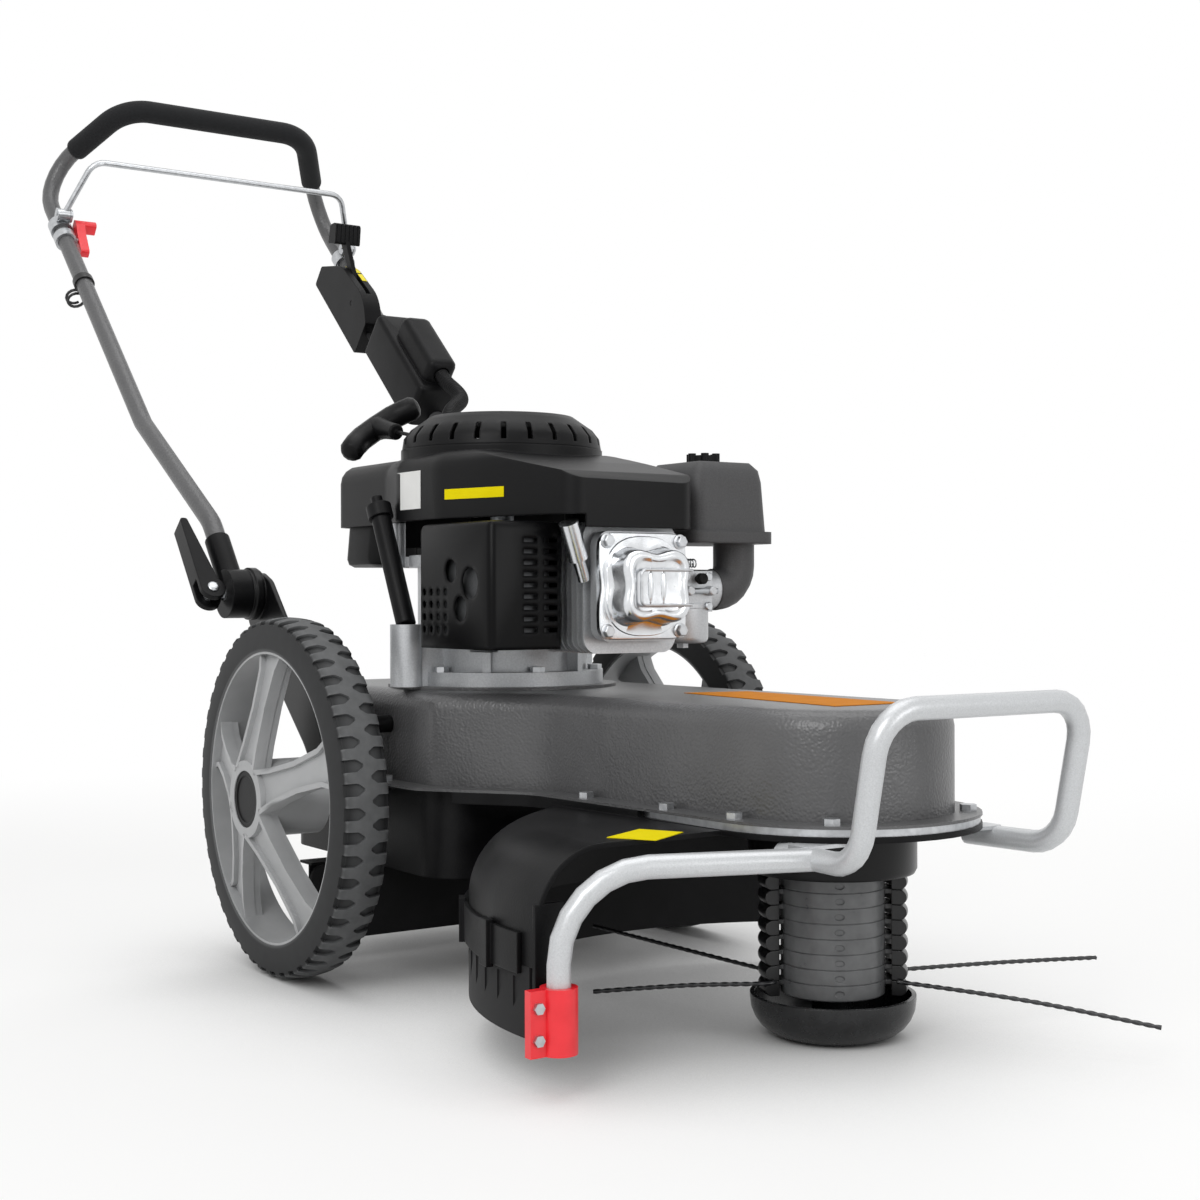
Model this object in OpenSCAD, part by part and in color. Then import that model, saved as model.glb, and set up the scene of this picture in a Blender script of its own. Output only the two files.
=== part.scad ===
// Wheeled string trimmer: a deck on two spoked wheels and a glide bowl, with an upright engine,
// a belt-driven cutting head and a folding handle.
// The origin is on the ground under the head's spindle, and the front is towards -Y.

/* [Layout] */
// Distance from the spindle back to the axle
axle_back = 486; // [470:1:510]
// Distance from the spindle to the middle plane between the wheels
centre_off = 51; // [45:1:57]
// Width over the two tyres
overall_w = 514; // [506:1:540]
// Height of the deck flange's underside above the axle's middle
flange_rise = 13; // [12:0.5:20]

/* [Wheels] */
// Diameter over the tread
wheel_d = 356; // [348:1:370]
// Width of a tyre
tyre_w = 44; // [40:1:50]
// Radius of the seat that the tyre sits on
rim_r = 150; // [144:1:154]
// Number of pockets in one row of the tread
tread_count = 44; // [30:2:48]
// Depth of a tread pocket
tread_depth = 3; // [1:0.5:4]
// Number of spokes in a rim
spoke_count = 5; // [4:1:6]
// Radius of a wheel's hub
hub_r = 38; // [34:1:42]
// How far a hub stands out past its tyre
hub_out = 24; // [18:1:28]
// Diameter of the axle
axle_d = 16; // [12:1:20]

/* [Deck] */
// Height of the deck above its flange's underside
deck_h = 92.5; // [86:0.5:110]
// Radius of the wall of the round front end
lobe_r = 103; // [98:1:108]
// Width of the flange around the deck
flange_w = 23; // [21:1:26]
// Half width between the walls at the rear
rear_half = 144; // [140:1:148]
// Distance from the spindle back to the rear edge of the flange
deck_rear = 690; // [670:1:720]
// Radius along the top edge
deck_fillet = 17; // [10:1:22]
// Thickness of the deck's sheet
sheet = 2.5; // [2:0.25:3]
// Height of the raised pad under the engine
pad_h = 3; // [2:0.5:5]
// Thickness of the plate that carries the spindle
plate_t = 6; // [5:0.5:8]
// Distance from the spindle back to the rear edge of that plate
plate_back = 101; // [90:1:110]
// Thread diameter of the flange bolts
bolt_d = 8; // [6:1:9]

/* [Pan and flap] */
// Depth of the pan under the rear of the deck
pan_h = 86; // [75:1:95]
// Half width of the pan
pan_half = 148; // [144:1:150]
// Distance from the spindle back to the front wall of the pan
pan_front = 332; // [328:1:345]
// Half width of the rear flap
flap_half = 198; // [180:1:202]
// Thickness of the rear flap
flap_t = 5; // [4:0.5:7]
// Gap between the flap and the ground
flap_gap = 24; // [15:1:40]

/* [Deflector] */
// Outer radius of the deflector's wall around the spindle
defl_r = 312; // [306:1:320]
// Thickness of the deflector's shell
defl_t = 4; // [3:0.5:5]
// Height of the wall's lower edge
wall_low = 95; // [85:1:105]
// Height of the skirt's lower edge
skirt_low = 40; // [30:1:50]
// Angle at which the deflector starts, beside the rail
defl_start = 183; // [182:0.5:183]
// Angle that the deflector covers
defl_sweep = 138; // [120:1:140]
// Number of clips on the band
clip_count = 7; // [4:1:9]
// Number of notches under the band
notch_count = 26; // [12:1:30]

/* [Guard] */
// Diameter of the guard's tube
guard_d = 19; // [16:0.5:22]
// Wall of the guard's tube
guard_wall = 2; // [1.5:0.25:3]
// Half width of the front loop
loop_half = 112; // [100:1:125]
// Height of the loop's top bar over the flange
loop_rise = 100; // [80:1:120]
// How far the loop's top bar stands in front of the spindle
loop_front = 180; // [170:1:195]
// Height of the shoe's underside at the foot of the rail
shoe_low = 34; // [25:1:45]
// Height of the shoe
shoe_h = 50; // [40:1:60]

/* [Cutting head] */
// Number of stacked line rings
ring_count = 8; // [6:1:8]
// Height of one ring
ring_h = 12.9; // [12:0.1:13]
// Radius of a ring's core
ring_r = 44.5; // [40:0.5:48]
// Reach of a ring's lugs
lug_r = 64; // [60:0.5:66]
// Turn of the head at rest
head_turn = -34; // [-90:1:90]
// Radius of the glide bowl's rim
bowl_r = 71; // [66:1:76]
// Height of the glide bowl
bowl_h = 36; // [32:1:38]
// Radius of the bowl's flat bottom
bowl_flat = 41; // [36:1:46]
// Diameter of the spindle
spindle_d = 20; // [18:1:24]
// Outer diameter of a spindle bearing
bearing_d = 47; // [42:1:52]
// Width of a spindle bearing
bearing_w = 14; // [12:1:15]
// Radius of the cover around the bearings
cover_r = 72; // [70:1:76]
// Diameter of the cutting line
line_d = 4; // [3:0.5:5]

/* [Drive] */
// Outer radius of the pulley on the engine
drive_r = 38; // [34:1:42]
// Outer radius of the pulley on the spindle
driven_r = 55; // [48:1:60]
// Height of a pulley
pulley_h = 18; // [16:1:22]
// Width of the belt's back
belt_w = 12.5; // [11:0.5:13]
// Depth of the belt
belt_t = 8; // [7:0.5:9]
// Diameter of the crankshaft
crank_d = 25; // [22:1:28]

/* [Engine] */
// Distance from the spindle back to the crankshaft
crank_back = 445; // [440:1:450]
// Distance from the spindle to the crankshaft, towards the right
crank_right = 62; // [58:1:66]
// Radius of the crankcase's foot
foot_r = 105; // [100:1:110]
// Height of the crankcase
case_h = 132; // [126:1:138]
// Height of the cylinder's middle over the pad
bore_z = 99; // [96:1:101]
// Side of the valve cover
cover_side = 101; // [94:1:104]
// Number of cooling fins on the cylinder
fin_count = 9; // [6:1:11]
// Height of the shroud's lower edge over the pad
shroud_low = 166; // [163:1:172]
// Height of the shroud's top over the pad
shroud_top = 241; // [236:1:248]
// Thickness of the shroud
shroud_t = 3; // [2.5:0.5:4]
// Radius of the recoil housing's foot
recoil_r = 104; // [102:1:110]
// Height of the recoil housing
recoil_h = 35; // [32:1:42]
// Number of slots around the recoil housing
slot_count = 24; // [16:2:28]

/* [Handle] */
// Diameter of the handle's tube
tube_d = 22; // [20:0.5:25]
// Wall of the handle's tube
tube_wall = 1.5; // [1:0.25:2.5]
// Slope of the handle's side tubes
handle_slope = 42.4; // [36:0.1:46]
// Half distance between the upper side tubes
handle_half = 213; // [208:1:218]
// Distance along the handle from its pivot to its upper bend
handle_len = 890; // [860:5:940]
// Half length of the top bar between its corners
bar_half = 134; // [120:1:145]
// How far the top bar stands off the side tubes
bar_rise = 148; // [130:1:170]
// Diameter of the foam grip
grip_d = 30; // [27:0.5:34]
// Diameter of the bail's rod
bail_d = 8; // [6:0.5:9]
// Radius of the knuckle's discs
knuckle_r = 27; // [25:1:32]
// Diameter of the knuckle's clamp bolt
clamp_d = 10; // [8:1:12]
// Length of a cam lever beyond its pin
lever_len = 100; // [80:1:115]
// Thickness of the side plates
plate_side_t = 5; // [4:0.5:6]

/* [Hidden] */
// Clearance of a shaft that turns in a bore
running = 0.05;
// Gap between pieces that move past each other
gap = 0.3;
// Clearance around a piece that is fixed in a hole
fit = 0.1;
// Length by which a cut passes its face
cut = 1;
$fn = 48;

cx = -centre_off;
axle_z = wheel_d / 2;
flange_z = axle_z + flange_rise;
deck_top = flange_z + deck_h;
pad_z = deck_top + pad_h;
flange_top = flange_z + sheet;
flange_r = lobe_r + flange_w;
plate_low = flange_z - plate_t;
lip_t = 5;
lip_low = plate_low - lip_t;
crank_x = -crank_right;
wheel_out = overall_w / 2;
hole_d = bolt_d + 0.6;

silver = "#c9ccd0";
steel = "#9fa3a8";
black = "#1d1e20";
rubber = "#161617";
hammered = "#55585d";
plastic = "#242628";
cast = "#b9bcc0";
red = "#c3231f";

// Helpers

function unit(v) = v / norm(v);
function flat(p) = [p.x, p.y];
function opposite(p) = [2 * cx - p.x, p.y, p.z];
function backwards(list) = [for (i = [len(list) - 1:-1:0]) list[i]];
// Inward normal of an edge of an outline that runs anticlockwise
function inward(p, q) = unit([p.y - q.y, q.x - p.x]);

// Outline through corners [x, y, radius], moved inwards by an inset
function rounded(corners, inset = 0, step = 9) = [
  for (i = [0:len(corners) - 1])
    let (
      n = len(corners),
      here = corners[i],
      n1 = inward(corners[(i + n - 1) % n], here),
      n2 = inward(here, corners[(i + 1) % n]),
      turn = atan2(n1.x * n2.y - n1.y * n2.x, n1 * n2),
      way = sign(turn),
      r = max(here.z - way * inset, 0.3),
      middle = flat(here) + (n1 + n2) * (inset + way * r) / (1 + n1 * n2),
      steps = max(1, ceil(abs(turn) / step))
    )
    for (k = [0:steps])
      let (a = turn * k / steps)
      middle - way * r * [n1.x * cos(a) - n1.y * sin(a), n1.x * sin(a) + n1.y * cos(a)]
];

// The same outline at a height
function level(corners, inset, z, step = 9) = [for (p = rounded(corners, inset, step)) [p.x, p.y, z]];

// Four rounded corners of a box in plan
function box_corners(x0, x1, y0, y1, r) = [[x0, y0, r], [x1, y0, r], [x1, y1, r], [x0, y1, r]];

// Solid through rings of points that all have the same number of points
module loft(rings) {
  n = len(rings[0]);
  m = len(rings);
  sides = [
    for (j = [0:m - 2])
      for (i = [0:n - 1])
        let (a = j * n + i, b = j * n + (i + 1) % n)
        each [[a, a + n, b + n], [a, b + n, b]]
  ];
  foot = [for (i = [0:n - 1]) i];
  head = [for (i = [n - 1:-1:0]) (m - 1) * n + i];
  polyhedron([for (r = rings) each r], concat([foot], sides, [head]));
}

// Upright block on an outline, with its top edge rounded
module domed(corners, low, high, r, inset = 0, steps = 3, step = 9) {
  loft(concat(
    [level(corners, inset, low, step)],
    [
      for (k = [0:steps])
        let (a = 90 * k / steps)
        level(corners, inset + r * (1 - cos(a)), high - r + r * sin(a), step)
    ]
  ));
}

// Round bar from one point to another
module rod(p, q, d) {
  v = q - p;
  translate(p)
    rotate([0, acos(v.z / norm(v)), atan2(v.y, v.x)])
      cylinder(h = norm(v), d = d);
}

// A path with a round bend at each corner
function bent(path, bend, step = 15) = concat(
  [path[0]],
  [
    for (i = [1:len(path) - 2])
      let (
        a = unit(path[i] - path[i - 1]),
        b = unit(path[i + 1] - path[i]),
        turn = acos(min(1, a * b)),
        out = unit(a * (a * b) - b),
        centre = path[i] - a * bend * tan(turn / 2) - out * bend,
        steps = max(2, ceil(turn / step))
      )
      for (k = [0:steps])
        let (t = turn * k / steps)
        centre + bend * (out * cos(t) + a * sin(t))
  ],
  [path[len(path) - 1]]
);

// Points along a smooth curve through a short list of points
function smooth(p, n) = [
  for (i = [0:len(p) - 2])
    let (a = p[max(i - 1, 0)], b = p[i], c = p[i + 1], d = p[min(i + 2, len(p) - 1)])
    for (k = [0:i == len(p) - 2 ? n : n - 1])
      let (t = k / n)
      0.5 * (2 * b + (c - a) * t + (2 * a - 5 * b + 4 * c - d) * t ^ 2 + (3 * b - a - 3 * c + d) * t ^ 3)
];

// Directions along a curve, and side directions carried along it without a twist
function along(c) = [for (i = [0:len(c) - 1]) unit(c[min(i + 1, len(c) - 1)] - c[max(i - 1, 0)])];
function carried(ways, u, i = 0) =
  i == len(ways)
    ? []
    : let (v = unit(u - ways[i] * (u * ways[i])))
      concat([v], carried(ways, v, i + 1));

// Rings of points around a curve, with a radius for each point
function around(curve, radii, sides) =
  let (
    ways = along(curve),
    start = abs(ways[0].z) < 0.9 ? [0, 0, 1] : [0, 1, 0],
    us = carried(ways, start)
  )
  [
    for (i = [0:len(curve) - 1])
      let (u = us[i], v = cross(ways[i], u))
      [for (k = [0:sides - 1]) curve[i] + radii[i] * (u * cos(360 * k / sides) + v * sin(360 * k / sides))]
  ];

// Round bar along a curve
module bar_along(curve, d, sides) {
  loft(around(curve, [for (p = curve) d / 2], sides));
}

// Tube along a curve, open at both ends
module tube_along(curve, d, bore, sides) {
  hollow(around(curve, [for (p = curve) d / 2], sides), around(curve, [for (p = curve) bore / 2], sides));
}

// Tube whose rings go out along the outside and back along the bore
module hollow(outside, inside) {
  rings = concat(outside, backwards(inside));
  m = len(rings);
  sides = len(rings[0]);
  polyhedron(
    [for (r = rings) each r],
    [
      for (j = [0:m - 1])
        for (i = [0:sides - 1])
          let (
            a = j * sides + i,
            b = j * sides + (i + 1) % sides,
            c = (j + 1) % m * sides + (i + 1) % sides,
            d = (j + 1) % m * sides + i
          )
          each [[a, d, c], [a, c, b]]
    ]
  );
}

// Hexagon bolt with its head's seat at z = 0 and its shank downwards
module hex_bolt(d, shank) {
  cylinder(d = 1.85 * d, h = 0.65 * d, $fn = 6);
  translate([0, 0, -shank])
    cylinder(d = d, h = shank);
}

// Children set out along the X axis from x = 0, as a disc or a plate that stands on its edge
module across(x) {
  translate([x, 0, 0])
    rotate([90, 0, 90])
      children();
}

// Children on the right side, and again on the left as a mirror image
module both_sides() {
  children();
  left_side()
    children();
}

module left_side() {
  translate([2 * cx, 0, 0])
    mirror([1, 0, 0])
      children();
}

// Deck

shoulder_front = 256;
shoulder_back = 351;
neck_half = 145;
rear_out = rear_half + flange_w;
near_neck = [-neck_half, shoulder_front];
far_neck = [cx + rear_out, shoulder_back];
// Direction of the normal where a line from a point touches the round front end
function touch(p, way) = atan2(p.y, p.x) + way * acos(flange_r / norm(p));
near_turn = touch(near_neck, 1);
far_turn = touch(far_neck, -1);
// Edge of the flange at a distance behind the spindle
function edge_at(turn, y) = (flange_r - y * sin(turn)) / cos(turn);
deck_corners = [
  [edge_at(near_turn, -flange_r), -flange_r, flange_r - 1],
  [edge_at(far_turn, -flange_r), -flange_r, flange_r - 1],
  [far_neck.x, far_neck.y, 200],
  [cx + rear_out, deck_rear, 60],
  [cx - rear_out, deck_rear, 60],
  [cx - rear_out, shoulder_back, 45],
  [near_neck.x, near_neck.y, 60]
];

// Places of the flange bolts
flange_mid = flange_w / 2;
function edge_bolts(y) = [[edge_at(near_turn, y) + flange_mid, y], [edge_at(far_turn, y) - flange_mid, y]];
loop_bolts = [for (a = [228, 317]) (flange_r - flange_mid) * [cos(a), sin(a)]];
plate_bolts = concat(
  [for (a = [184, 356]) (flange_r - flange_mid) * [cos(a), sin(a)]],
  edge_bolts(77)
);
lip_bolts = edge_bolts(188);
pan_bolts = [for (y = [430, 600], side = [-1, 1]) [cx + side * (rear_out - flange_mid), y]];
flange_bolts = concat(loop_bolts, plate_bolts, lip_bolts, pan_bolts);

module at_points(points, z) {
  for (p = points)
    translate([p.x, p.y, z])
      children();
}

module deck() {
  wall = flange_w;
  color(hammered)
    difference() {
      union() {
        linear_extrude_at(flange_z, sheet)
          polygon(rounded(deck_corners));
        domed(deck_corners, flange_z, deck_top, deck_fillet, wall, 4);
        translate([crank_x, crank_back, deck_top - sheet])
          cylinder(r = foot_r + 14, h = sheet + pad_h);
      }
      domed(deck_corners, flange_z - cut, deck_top - sheet, deck_fillet - sheet, wall + sheet, 3);
      translate([crank_x, crank_back, deck_top - 4 * sheet])
        cylinder(d = crank_d + 14, h = 6 * sheet + pad_h);
      at_points(flange_bolts, flange_z - cut)
        cylinder(d = hole_d, h = sheet + 2 * cut);
      both_sides()
        at_frame_bolts()
          translate([0, 0, -plate_side_t - cut])
            cylinder(d = hole_d, h = frame_standoff + plate_side_t + 4 * sheet);
    }
}

module linear_extrude_at(z, h) {
  translate([0, 0, z])
    linear_extrude(h)
      children();
}

module deck_bolts() {
  color(steel) {
    at_points(flange_bolts, flange_top)
      hex_bolt(bolt_d, sheet + plate_t);
    both_sides()
      at_frame_bolts()
        translate([0, 0, -plate_side_t])
          rotate([180, 0, 0])
            hex_bolt(bolt_d, plate_side_t + frame_standoff + sheet + 3);
    on_pad()
      at_foot_bolts()
        translate([0, 0, foot_t])
          hex_bolt(bolt_d, foot_t - 1);
  }
}

module spindle_plate() {
  color(silver)
    difference() {
      intersection() {
        linear_extrude_at(plate_low, plate_t)
          polygon(rounded(deck_corners, 1.5));
        translate([-flange_r, -flange_r, plate_low])
          cube([2 * flange_r, flange_r + plate_back, plate_t]);
      }
      translate([0, 0, plate_low - cut])
        cylinder(d = bearing_d + 2, h = plate_t + 2 * cut);
      at_points(concat(loop_bolts, plate_bolts), plate_low - cut)
        cylinder(d = hole_d, h = plate_t + 2 * cut);
    }
}

// Pan and flap under the rear of the deck

pan_low = flange_z - pan_h;
flap_y = 512;
bar_w = 28;
pan_corners = box_corners(cx - pan_half, cx + pan_half, pan_front, deck_rear - 12, 40);

module pan() {
  lip = rear_out - pan_half - 4;
  color(black)
    difference() {
      union() {
        translate([cx - flap_half, flap_y, pan_low - sheet])
          cube([2 * flap_half, bar_w, sheet]);
        translate([cx - flap_half, flap_y + flap_t, pan_low - bar_w])
          cube([2 * flap_half, sheet, bar_w]);
        linear_extrude_at(pan_low, pan_h)
          polygon(rounded(pan_corners));
        linear_extrude_at(flange_z - sheet, sheet)
          polygon(rounded(box_corners(cx - pan_half - lip, cx + pan_half + lip, 392, 640, 12)));
      }
      linear_extrude_at(pan_low + sheet, pan_h)
        polygon(rounded(pan_corners, sheet));
      translate([cx - wheel_out, axle_back, axle_z])
        rotate([0, 90, 0])
          cylinder(d = axle_d + 1, h = overall_w);
      at_points(pan_bolts, flange_z - sheet - cut)
        cylinder(d = hole_d, h = sheet + 2 * cut);
    }
}

module rear_flap() {
  color(rubber)
    translate([cx, flap_y, 0])
      rotate([90, 0, 0])
        translate([0, 0, -flap_t])
          linear_extrude(flap_t)
            polygon(rounded(box_corners(-flap_half, flap_half, flap_gap, pan_low - sheet, 14), 0, 15));
}

// Deflector around the right and the rear of the head

shoulder_r = 62;

module defl_profile(outer) {
  inner = outer - defl_t;
  top = plate_low - 0.5;
  difference() {
    union() {
      translate([flange_r - 12, top - defl_t])
        square([outer - shoulder_r - flange_r + 12, defl_t]);
      translate([inner, wall_low])
        square([defl_t, top - shoulder_r - wall_low]);
      intersection() {
        translate([outer - shoulder_r, top - shoulder_r])
          difference() {
            circle(shoulder_r);
            circle(shoulder_r - defl_t);
          }
        translate([outer - shoulder_r, top - shoulder_r])
          square(shoulder_r);
      }
    }
  }
}

module swept(from, angle) {
  rotate([0, 0, from])
    rotate_extrude(angle = angle)
      children();
}

module deflector() {
  edge_w = 27;
  color(plastic)
    difference() {
      union() {
        swept(defl_start - defl_sweep, defl_sweep)
          defl_profile(defl_r);
        rotate([0, 0, defl_start])
          translate([defl_r - edge_w, -defl_t, skirt_low])
            cube([edge_w, defl_t, plate_low - shoulder_r - skirt_low + 20]);
        intersection() {
          linear_extrude_at(lip_low, lip_t)
            polygon(rounded(deck_corners));
          translate([-defl_r, -flange_r, lip_low])
            cube([2 * defl_r, flange_r + pan_front - 12, lip_t]);
        }
        intersection() {
          linear_extrude_at(plate_low - 1, plate_t + 1)
            polygon(rounded(deck_corners));
          translate([-defl_r, plate_back + gap, plate_low - 1])
            cube([2 * defl_r, pan_front - 12 - plate_back - gap, plate_t + 1]);
        }
      }
      linear_extrude_at(lip_low - 20, 60)
        polygon(rounded(deck_corners, flange_w + 6));
      translate([0, 0, plate_low - 20])
        cylinder(r = cover_r - 10, h = 40);
      at_points(concat(loop_bolts, plate_bolts, lip_bolts), lip_low - cut)
        cylinder(d = hole_d, h = lip_t + plate_t + 2 * cut);
    }
}

skirt_from = defl_start - defl_sweep;
skirt_sweep = defl_sweep - 1.5;

module deflector_skirt() {
  pitch = skirt_sweep / notch_count;
  color(rubber)
    difference() {
      swept(skirt_from, skirt_sweep)
        translate([defl_r - defl_t, skirt_low])
          square([defl_t, wall_low - skirt_low]);
      for (i = [0:notch_count - 1])
        rotate([0, 0, skirt_from + (i + 0.5) * pitch])
          translate([defl_r - 1.5, 0, wall_low - 10])
            rotate([90, 0, 90])
              linear_extrude(10)
                polygon([[-10, 0], [10, 0], [-10, -24]]);
    }
}

band_low = 89;
band_h = 31;
band_t = 4;

module skirt_band() {
  color(plastic) {
    swept(skirt_from, skirt_sweep - 2)
      translate([defl_r + fit, band_low])
        square([band_t, band_h]);
    for (i = [0:clip_count - 1])
      rotate([0, 0, skirt_from + (i + 0.5) * (skirt_sweep - 2) / clip_count])
        translate([defl_r + fit + band_t / 2, -8, band_low - 3])
          cube([band_t / 2 + 4, 16, band_h + 6]);
  }
}

// Tube guard in front of the head

guard_z = lip_low - guard_d / 2;
guard_bend = 35;
rail_bend = 70;
rail_at = [-302, -34];
loop_path = [
  [8 - loop_half, -58, guard_z],
  [-loop_half, 25 - loop_front, guard_z],
  [-loop_half, -loop_front, flange_z + loop_rise],
  [loop_half, -loop_front, flange_z + loop_rise],
  [loop_half, 25 - loop_front, guard_z],
  [loop_half - 8, -58, guard_z]
];
rail_path = [
  [4 - loop_half, -100, guard_z],
  [rail_at.x, rail_at.y, guard_z],
  [rail_at.x, rail_at.y, shoe_low + 3]
];

module guard_tab(bolt) {
  side = sign(bolt.x);
  tab_t = 3;
  translate([0, 0, lip_low - tab_t])
    linear_extrude(tab_t)
      polygon(rounded(box_corners(
        min(side * (loop_half + 2), bolt.x - 12),
        max(side * (loop_half + 2), bolt.x + 12),
        bolt.y - 12,
        bolt.y + 12,
        5
      ), 0, 30));
}

module guard_frame() {
  sides = 12;
  bore = guard_d - 2 * guard_wall;
  color(silver)
    difference() {
      union() {
        tube_along(bent(loop_path, guard_bend), guard_d, bore, sides);
        difference() {
          tube_along(bent(rail_path, rail_bend), guard_d, bore, sides);
          bar_along(bent(loop_path, guard_bend), guard_d - guard_wall, sides);
        }
        for (b = loop_bolts)
          guard_tab(b);
      }
      at_points(loop_bolts, lip_low - 4)
        cylinder(d = hole_d, h = 5);
    }
}

module guard_shoe() {
  wall = 5;
  ear = 13;
  ear_t = 8;
  out = guard_d / 2 + wall;
  color(red)
    translate([rail_at.x, rail_at.y, shoe_low])
      difference() {
        union() {
          cylinder(r = out, h = shoe_h);
          translate([-out - ear, -ear_t / 2, 0])
            cube([out + ear, ear_t, shoe_h]);
        }
        translate([0, 0, 3])
          cylinder(d = guard_d + 2 * fit, h = shoe_h);
        for (z = shoe_bolt_z)
          translate([-out - ear / 2, 0, z])
            rotate([90, 0, 0])
              cylinder(d = 5.6, h = 20, center = true);
      }
}

shoe_bolt_z = [13, shoe_h - 13];

module at_shoe_bolts() {
  for (z = shoe_bolt_z)
    translate([rail_at.x - guard_d / 2 - 11.5, rail_at.y - 4, shoe_low + z])
      rotate([90, 0, 0])
        children();
}

module small_bolts() {
  color(steel) {
    at_shoe_bolts()
      hex_bolt(5, 10);
    on_pad() {
      at_cover_corners()
        translate([0, 0, 6])
          hex_bolt(6, 6);
      for (a = [15:90:285])
        rotate([0, 0, a])
          translate([45, 0, shroud_top + recoil_h])
            cylinder(d = 9, h = 3, $fn = 6);
    }
  }
}

// Spindle, bearings and cutting head

head_low = bowl_h;
head_top = head_low + ring_count * ring_h;
hub_flange_t = 4;
housing_low = head_top + hub_flange_t + 3;
housing_r = bearing_d / 2 + 8;
pulley_z = flange_z + 26;
spindle_low = 8;
hub_tube_r = 15;

module spindle_cover() {
  wall = 3;
  low = head_top + gap + 1;
  color(plastic)
    rotate_extrude()
      polygon([
        [cover_r - wall, low],
        [cover_r - 2, low],
        [cover_r, low + 4],
        [cover_r, lip_low],
        [cover_r - 10, lip_low],
        [cover_r - 10, lip_low - wall],
        [cover_r - wall, lip_low - wall]
      ]);
}

module spindle_housing() {
  color(cast)
    difference() {
      union() {
        translate([0, 0, housing_low])
          cylinder(r = housing_r, h = plate_low - housing_low);
        translate([0, 0, plate_low - 8])
          cylinder(r = cover_r - 11, h = 8);
      }
      translate([0, 0, housing_low - cut])
        cylinder(d = bearing_d + 2 * fit, h = plate_low);
    }
  color(steel)
    for (z = [housing_low, plate_low - bearing_w])
      translate([0, 0, z])
        difference() {
          cylinder(d = bearing_d, h = bearing_w);
          translate([0, 0, -cut])
            cylinder(d = spindle_d + 2 * running, h = bearing_w + 2 * cut);
        }
}

module pulley(r, bore) {
  groove = belt_t + 2;
  difference() {
    cylinder(r = r, h = pulley_h);
    translate([0, 0, pulley_h / 2])
      rotate_extrude()
        polygon([
          [r + cut, -belt_w / 2 - 1.2],
          [r - groove, -belt_w / 2 + 2.4],
          [r - groove, belt_w / 2 - 2.4],
          [r + cut, belt_w / 2 + 1.2]
        ]);
    translate([0, 0, -cut])
      cylinder(d = bore + 2 * fit, h = pulley_h + 2 * cut);
  }
}

module spindle() {
  color(steel) {
    translate([0, 0, spindle_low])
      cylinder(d = spindle_d, h = pulley_z + pulley_h + 4 - spindle_low);
    translate([0, 0, head_low + gap])
      cylinder(r = hub_tube_r, h = head_top - head_low - gap);
    translate([0, 0, head_top + gap])
      cylinder(r = ring_r - 2, h = hub_flange_t - gap);
  }
}

module spindle_pulley() {
  color(steel)
    translate([0, 0, pulley_z])
      pulley(driven_r, spindle_d);
}

module belt_loop(depth) {
  hull() {
    circle(driven_r - depth);
    translate([crank_x, crank_back])
      circle(drive_r - depth);
  }
}

module belt() {
  color(rubber)
    linear_extrude_at(pulley_z + pulley_h / 2 - belt_w / 2 + 2.2, belt_w - 4.4)
      difference() {
        belt_loop(0.5);
        belt_loop(belt_t + 0.5);
      }
}

lug_angle = 42;

module line_ring() {
  band = ring_h - 0.5;
  tab_h = 4;
  difference() {
    union() {
      cylinder(r = ring_r, h = ring_h);
      for (turn = [0, 180])
        rotate([0, 0, turn - lug_angle / 2]) {
          rotate_extrude(angle = lug_angle) {
            translate([lug_r - 13, 0])
              square([13 - band / 2, band]);
            translate([lug_r - band / 2, band / 2])
              circle(d = band);
          }
          rotate([0, 0, 8])
            rotate_extrude(angle = lug_angle - 16)
              translate([ring_r - 2, ring_h - tab_h - 1])
                square([lug_r - 10 - ring_r, tab_h]);
        }
    }
    translate([0, 0, -cut])
      cylinder(r = hub_tube_r + fit, h = ring_h + 2 * cut);
    rotate_extrude()
      translate([ring_r, 0])
        circle(r = 0.9, $fn = 4);
    for (turn = [90, 270])
      rotate([0, 0, turn])
        translate([ring_r + 2, 0, ring_h / 2])
          rotate([0, 90, 0])
            scale([1, 1.6, 1])
              cylinder(d = 5, h = 6, center = true);
  }
}

module line_rings() {
  color(plastic)
    rotate([0, 0, head_turn])
      for (i = [0:ring_count - 1])
        translate([0, 0, head_low + gap + i * ring_h])
          line_ring();
}

bowl_t = 4;

module glide_bowl() {
  hub = spindle_d / 2 + 8;
  top = bowl_h - gap;
  rim = 4;
  curve = [for (a = [0:15:90]) [bowl_flat + (bowl_r - bowl_flat) * sin(a), (top - rim) * (1 - cos(a))]];
  color(plastic)
    difference() {
      rotate_extrude()
        polygon(concat([[0, 0]], curve, [[bowl_r, top], [0, top]]));
      rotate_extrude()
        polygon(concat(
          [[hub, bowl_t]],
          [for (p = curve) [p.x - bowl_t, p.y + bowl_t]],
          [[bowl_r - bowl_t, top + cut], [hub, top + cut]]
        ));
      translate([0, 0, spindle_low - gap])
        cylinder(d = spindle_d + 2 * running, h = top);
    }
}

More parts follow.
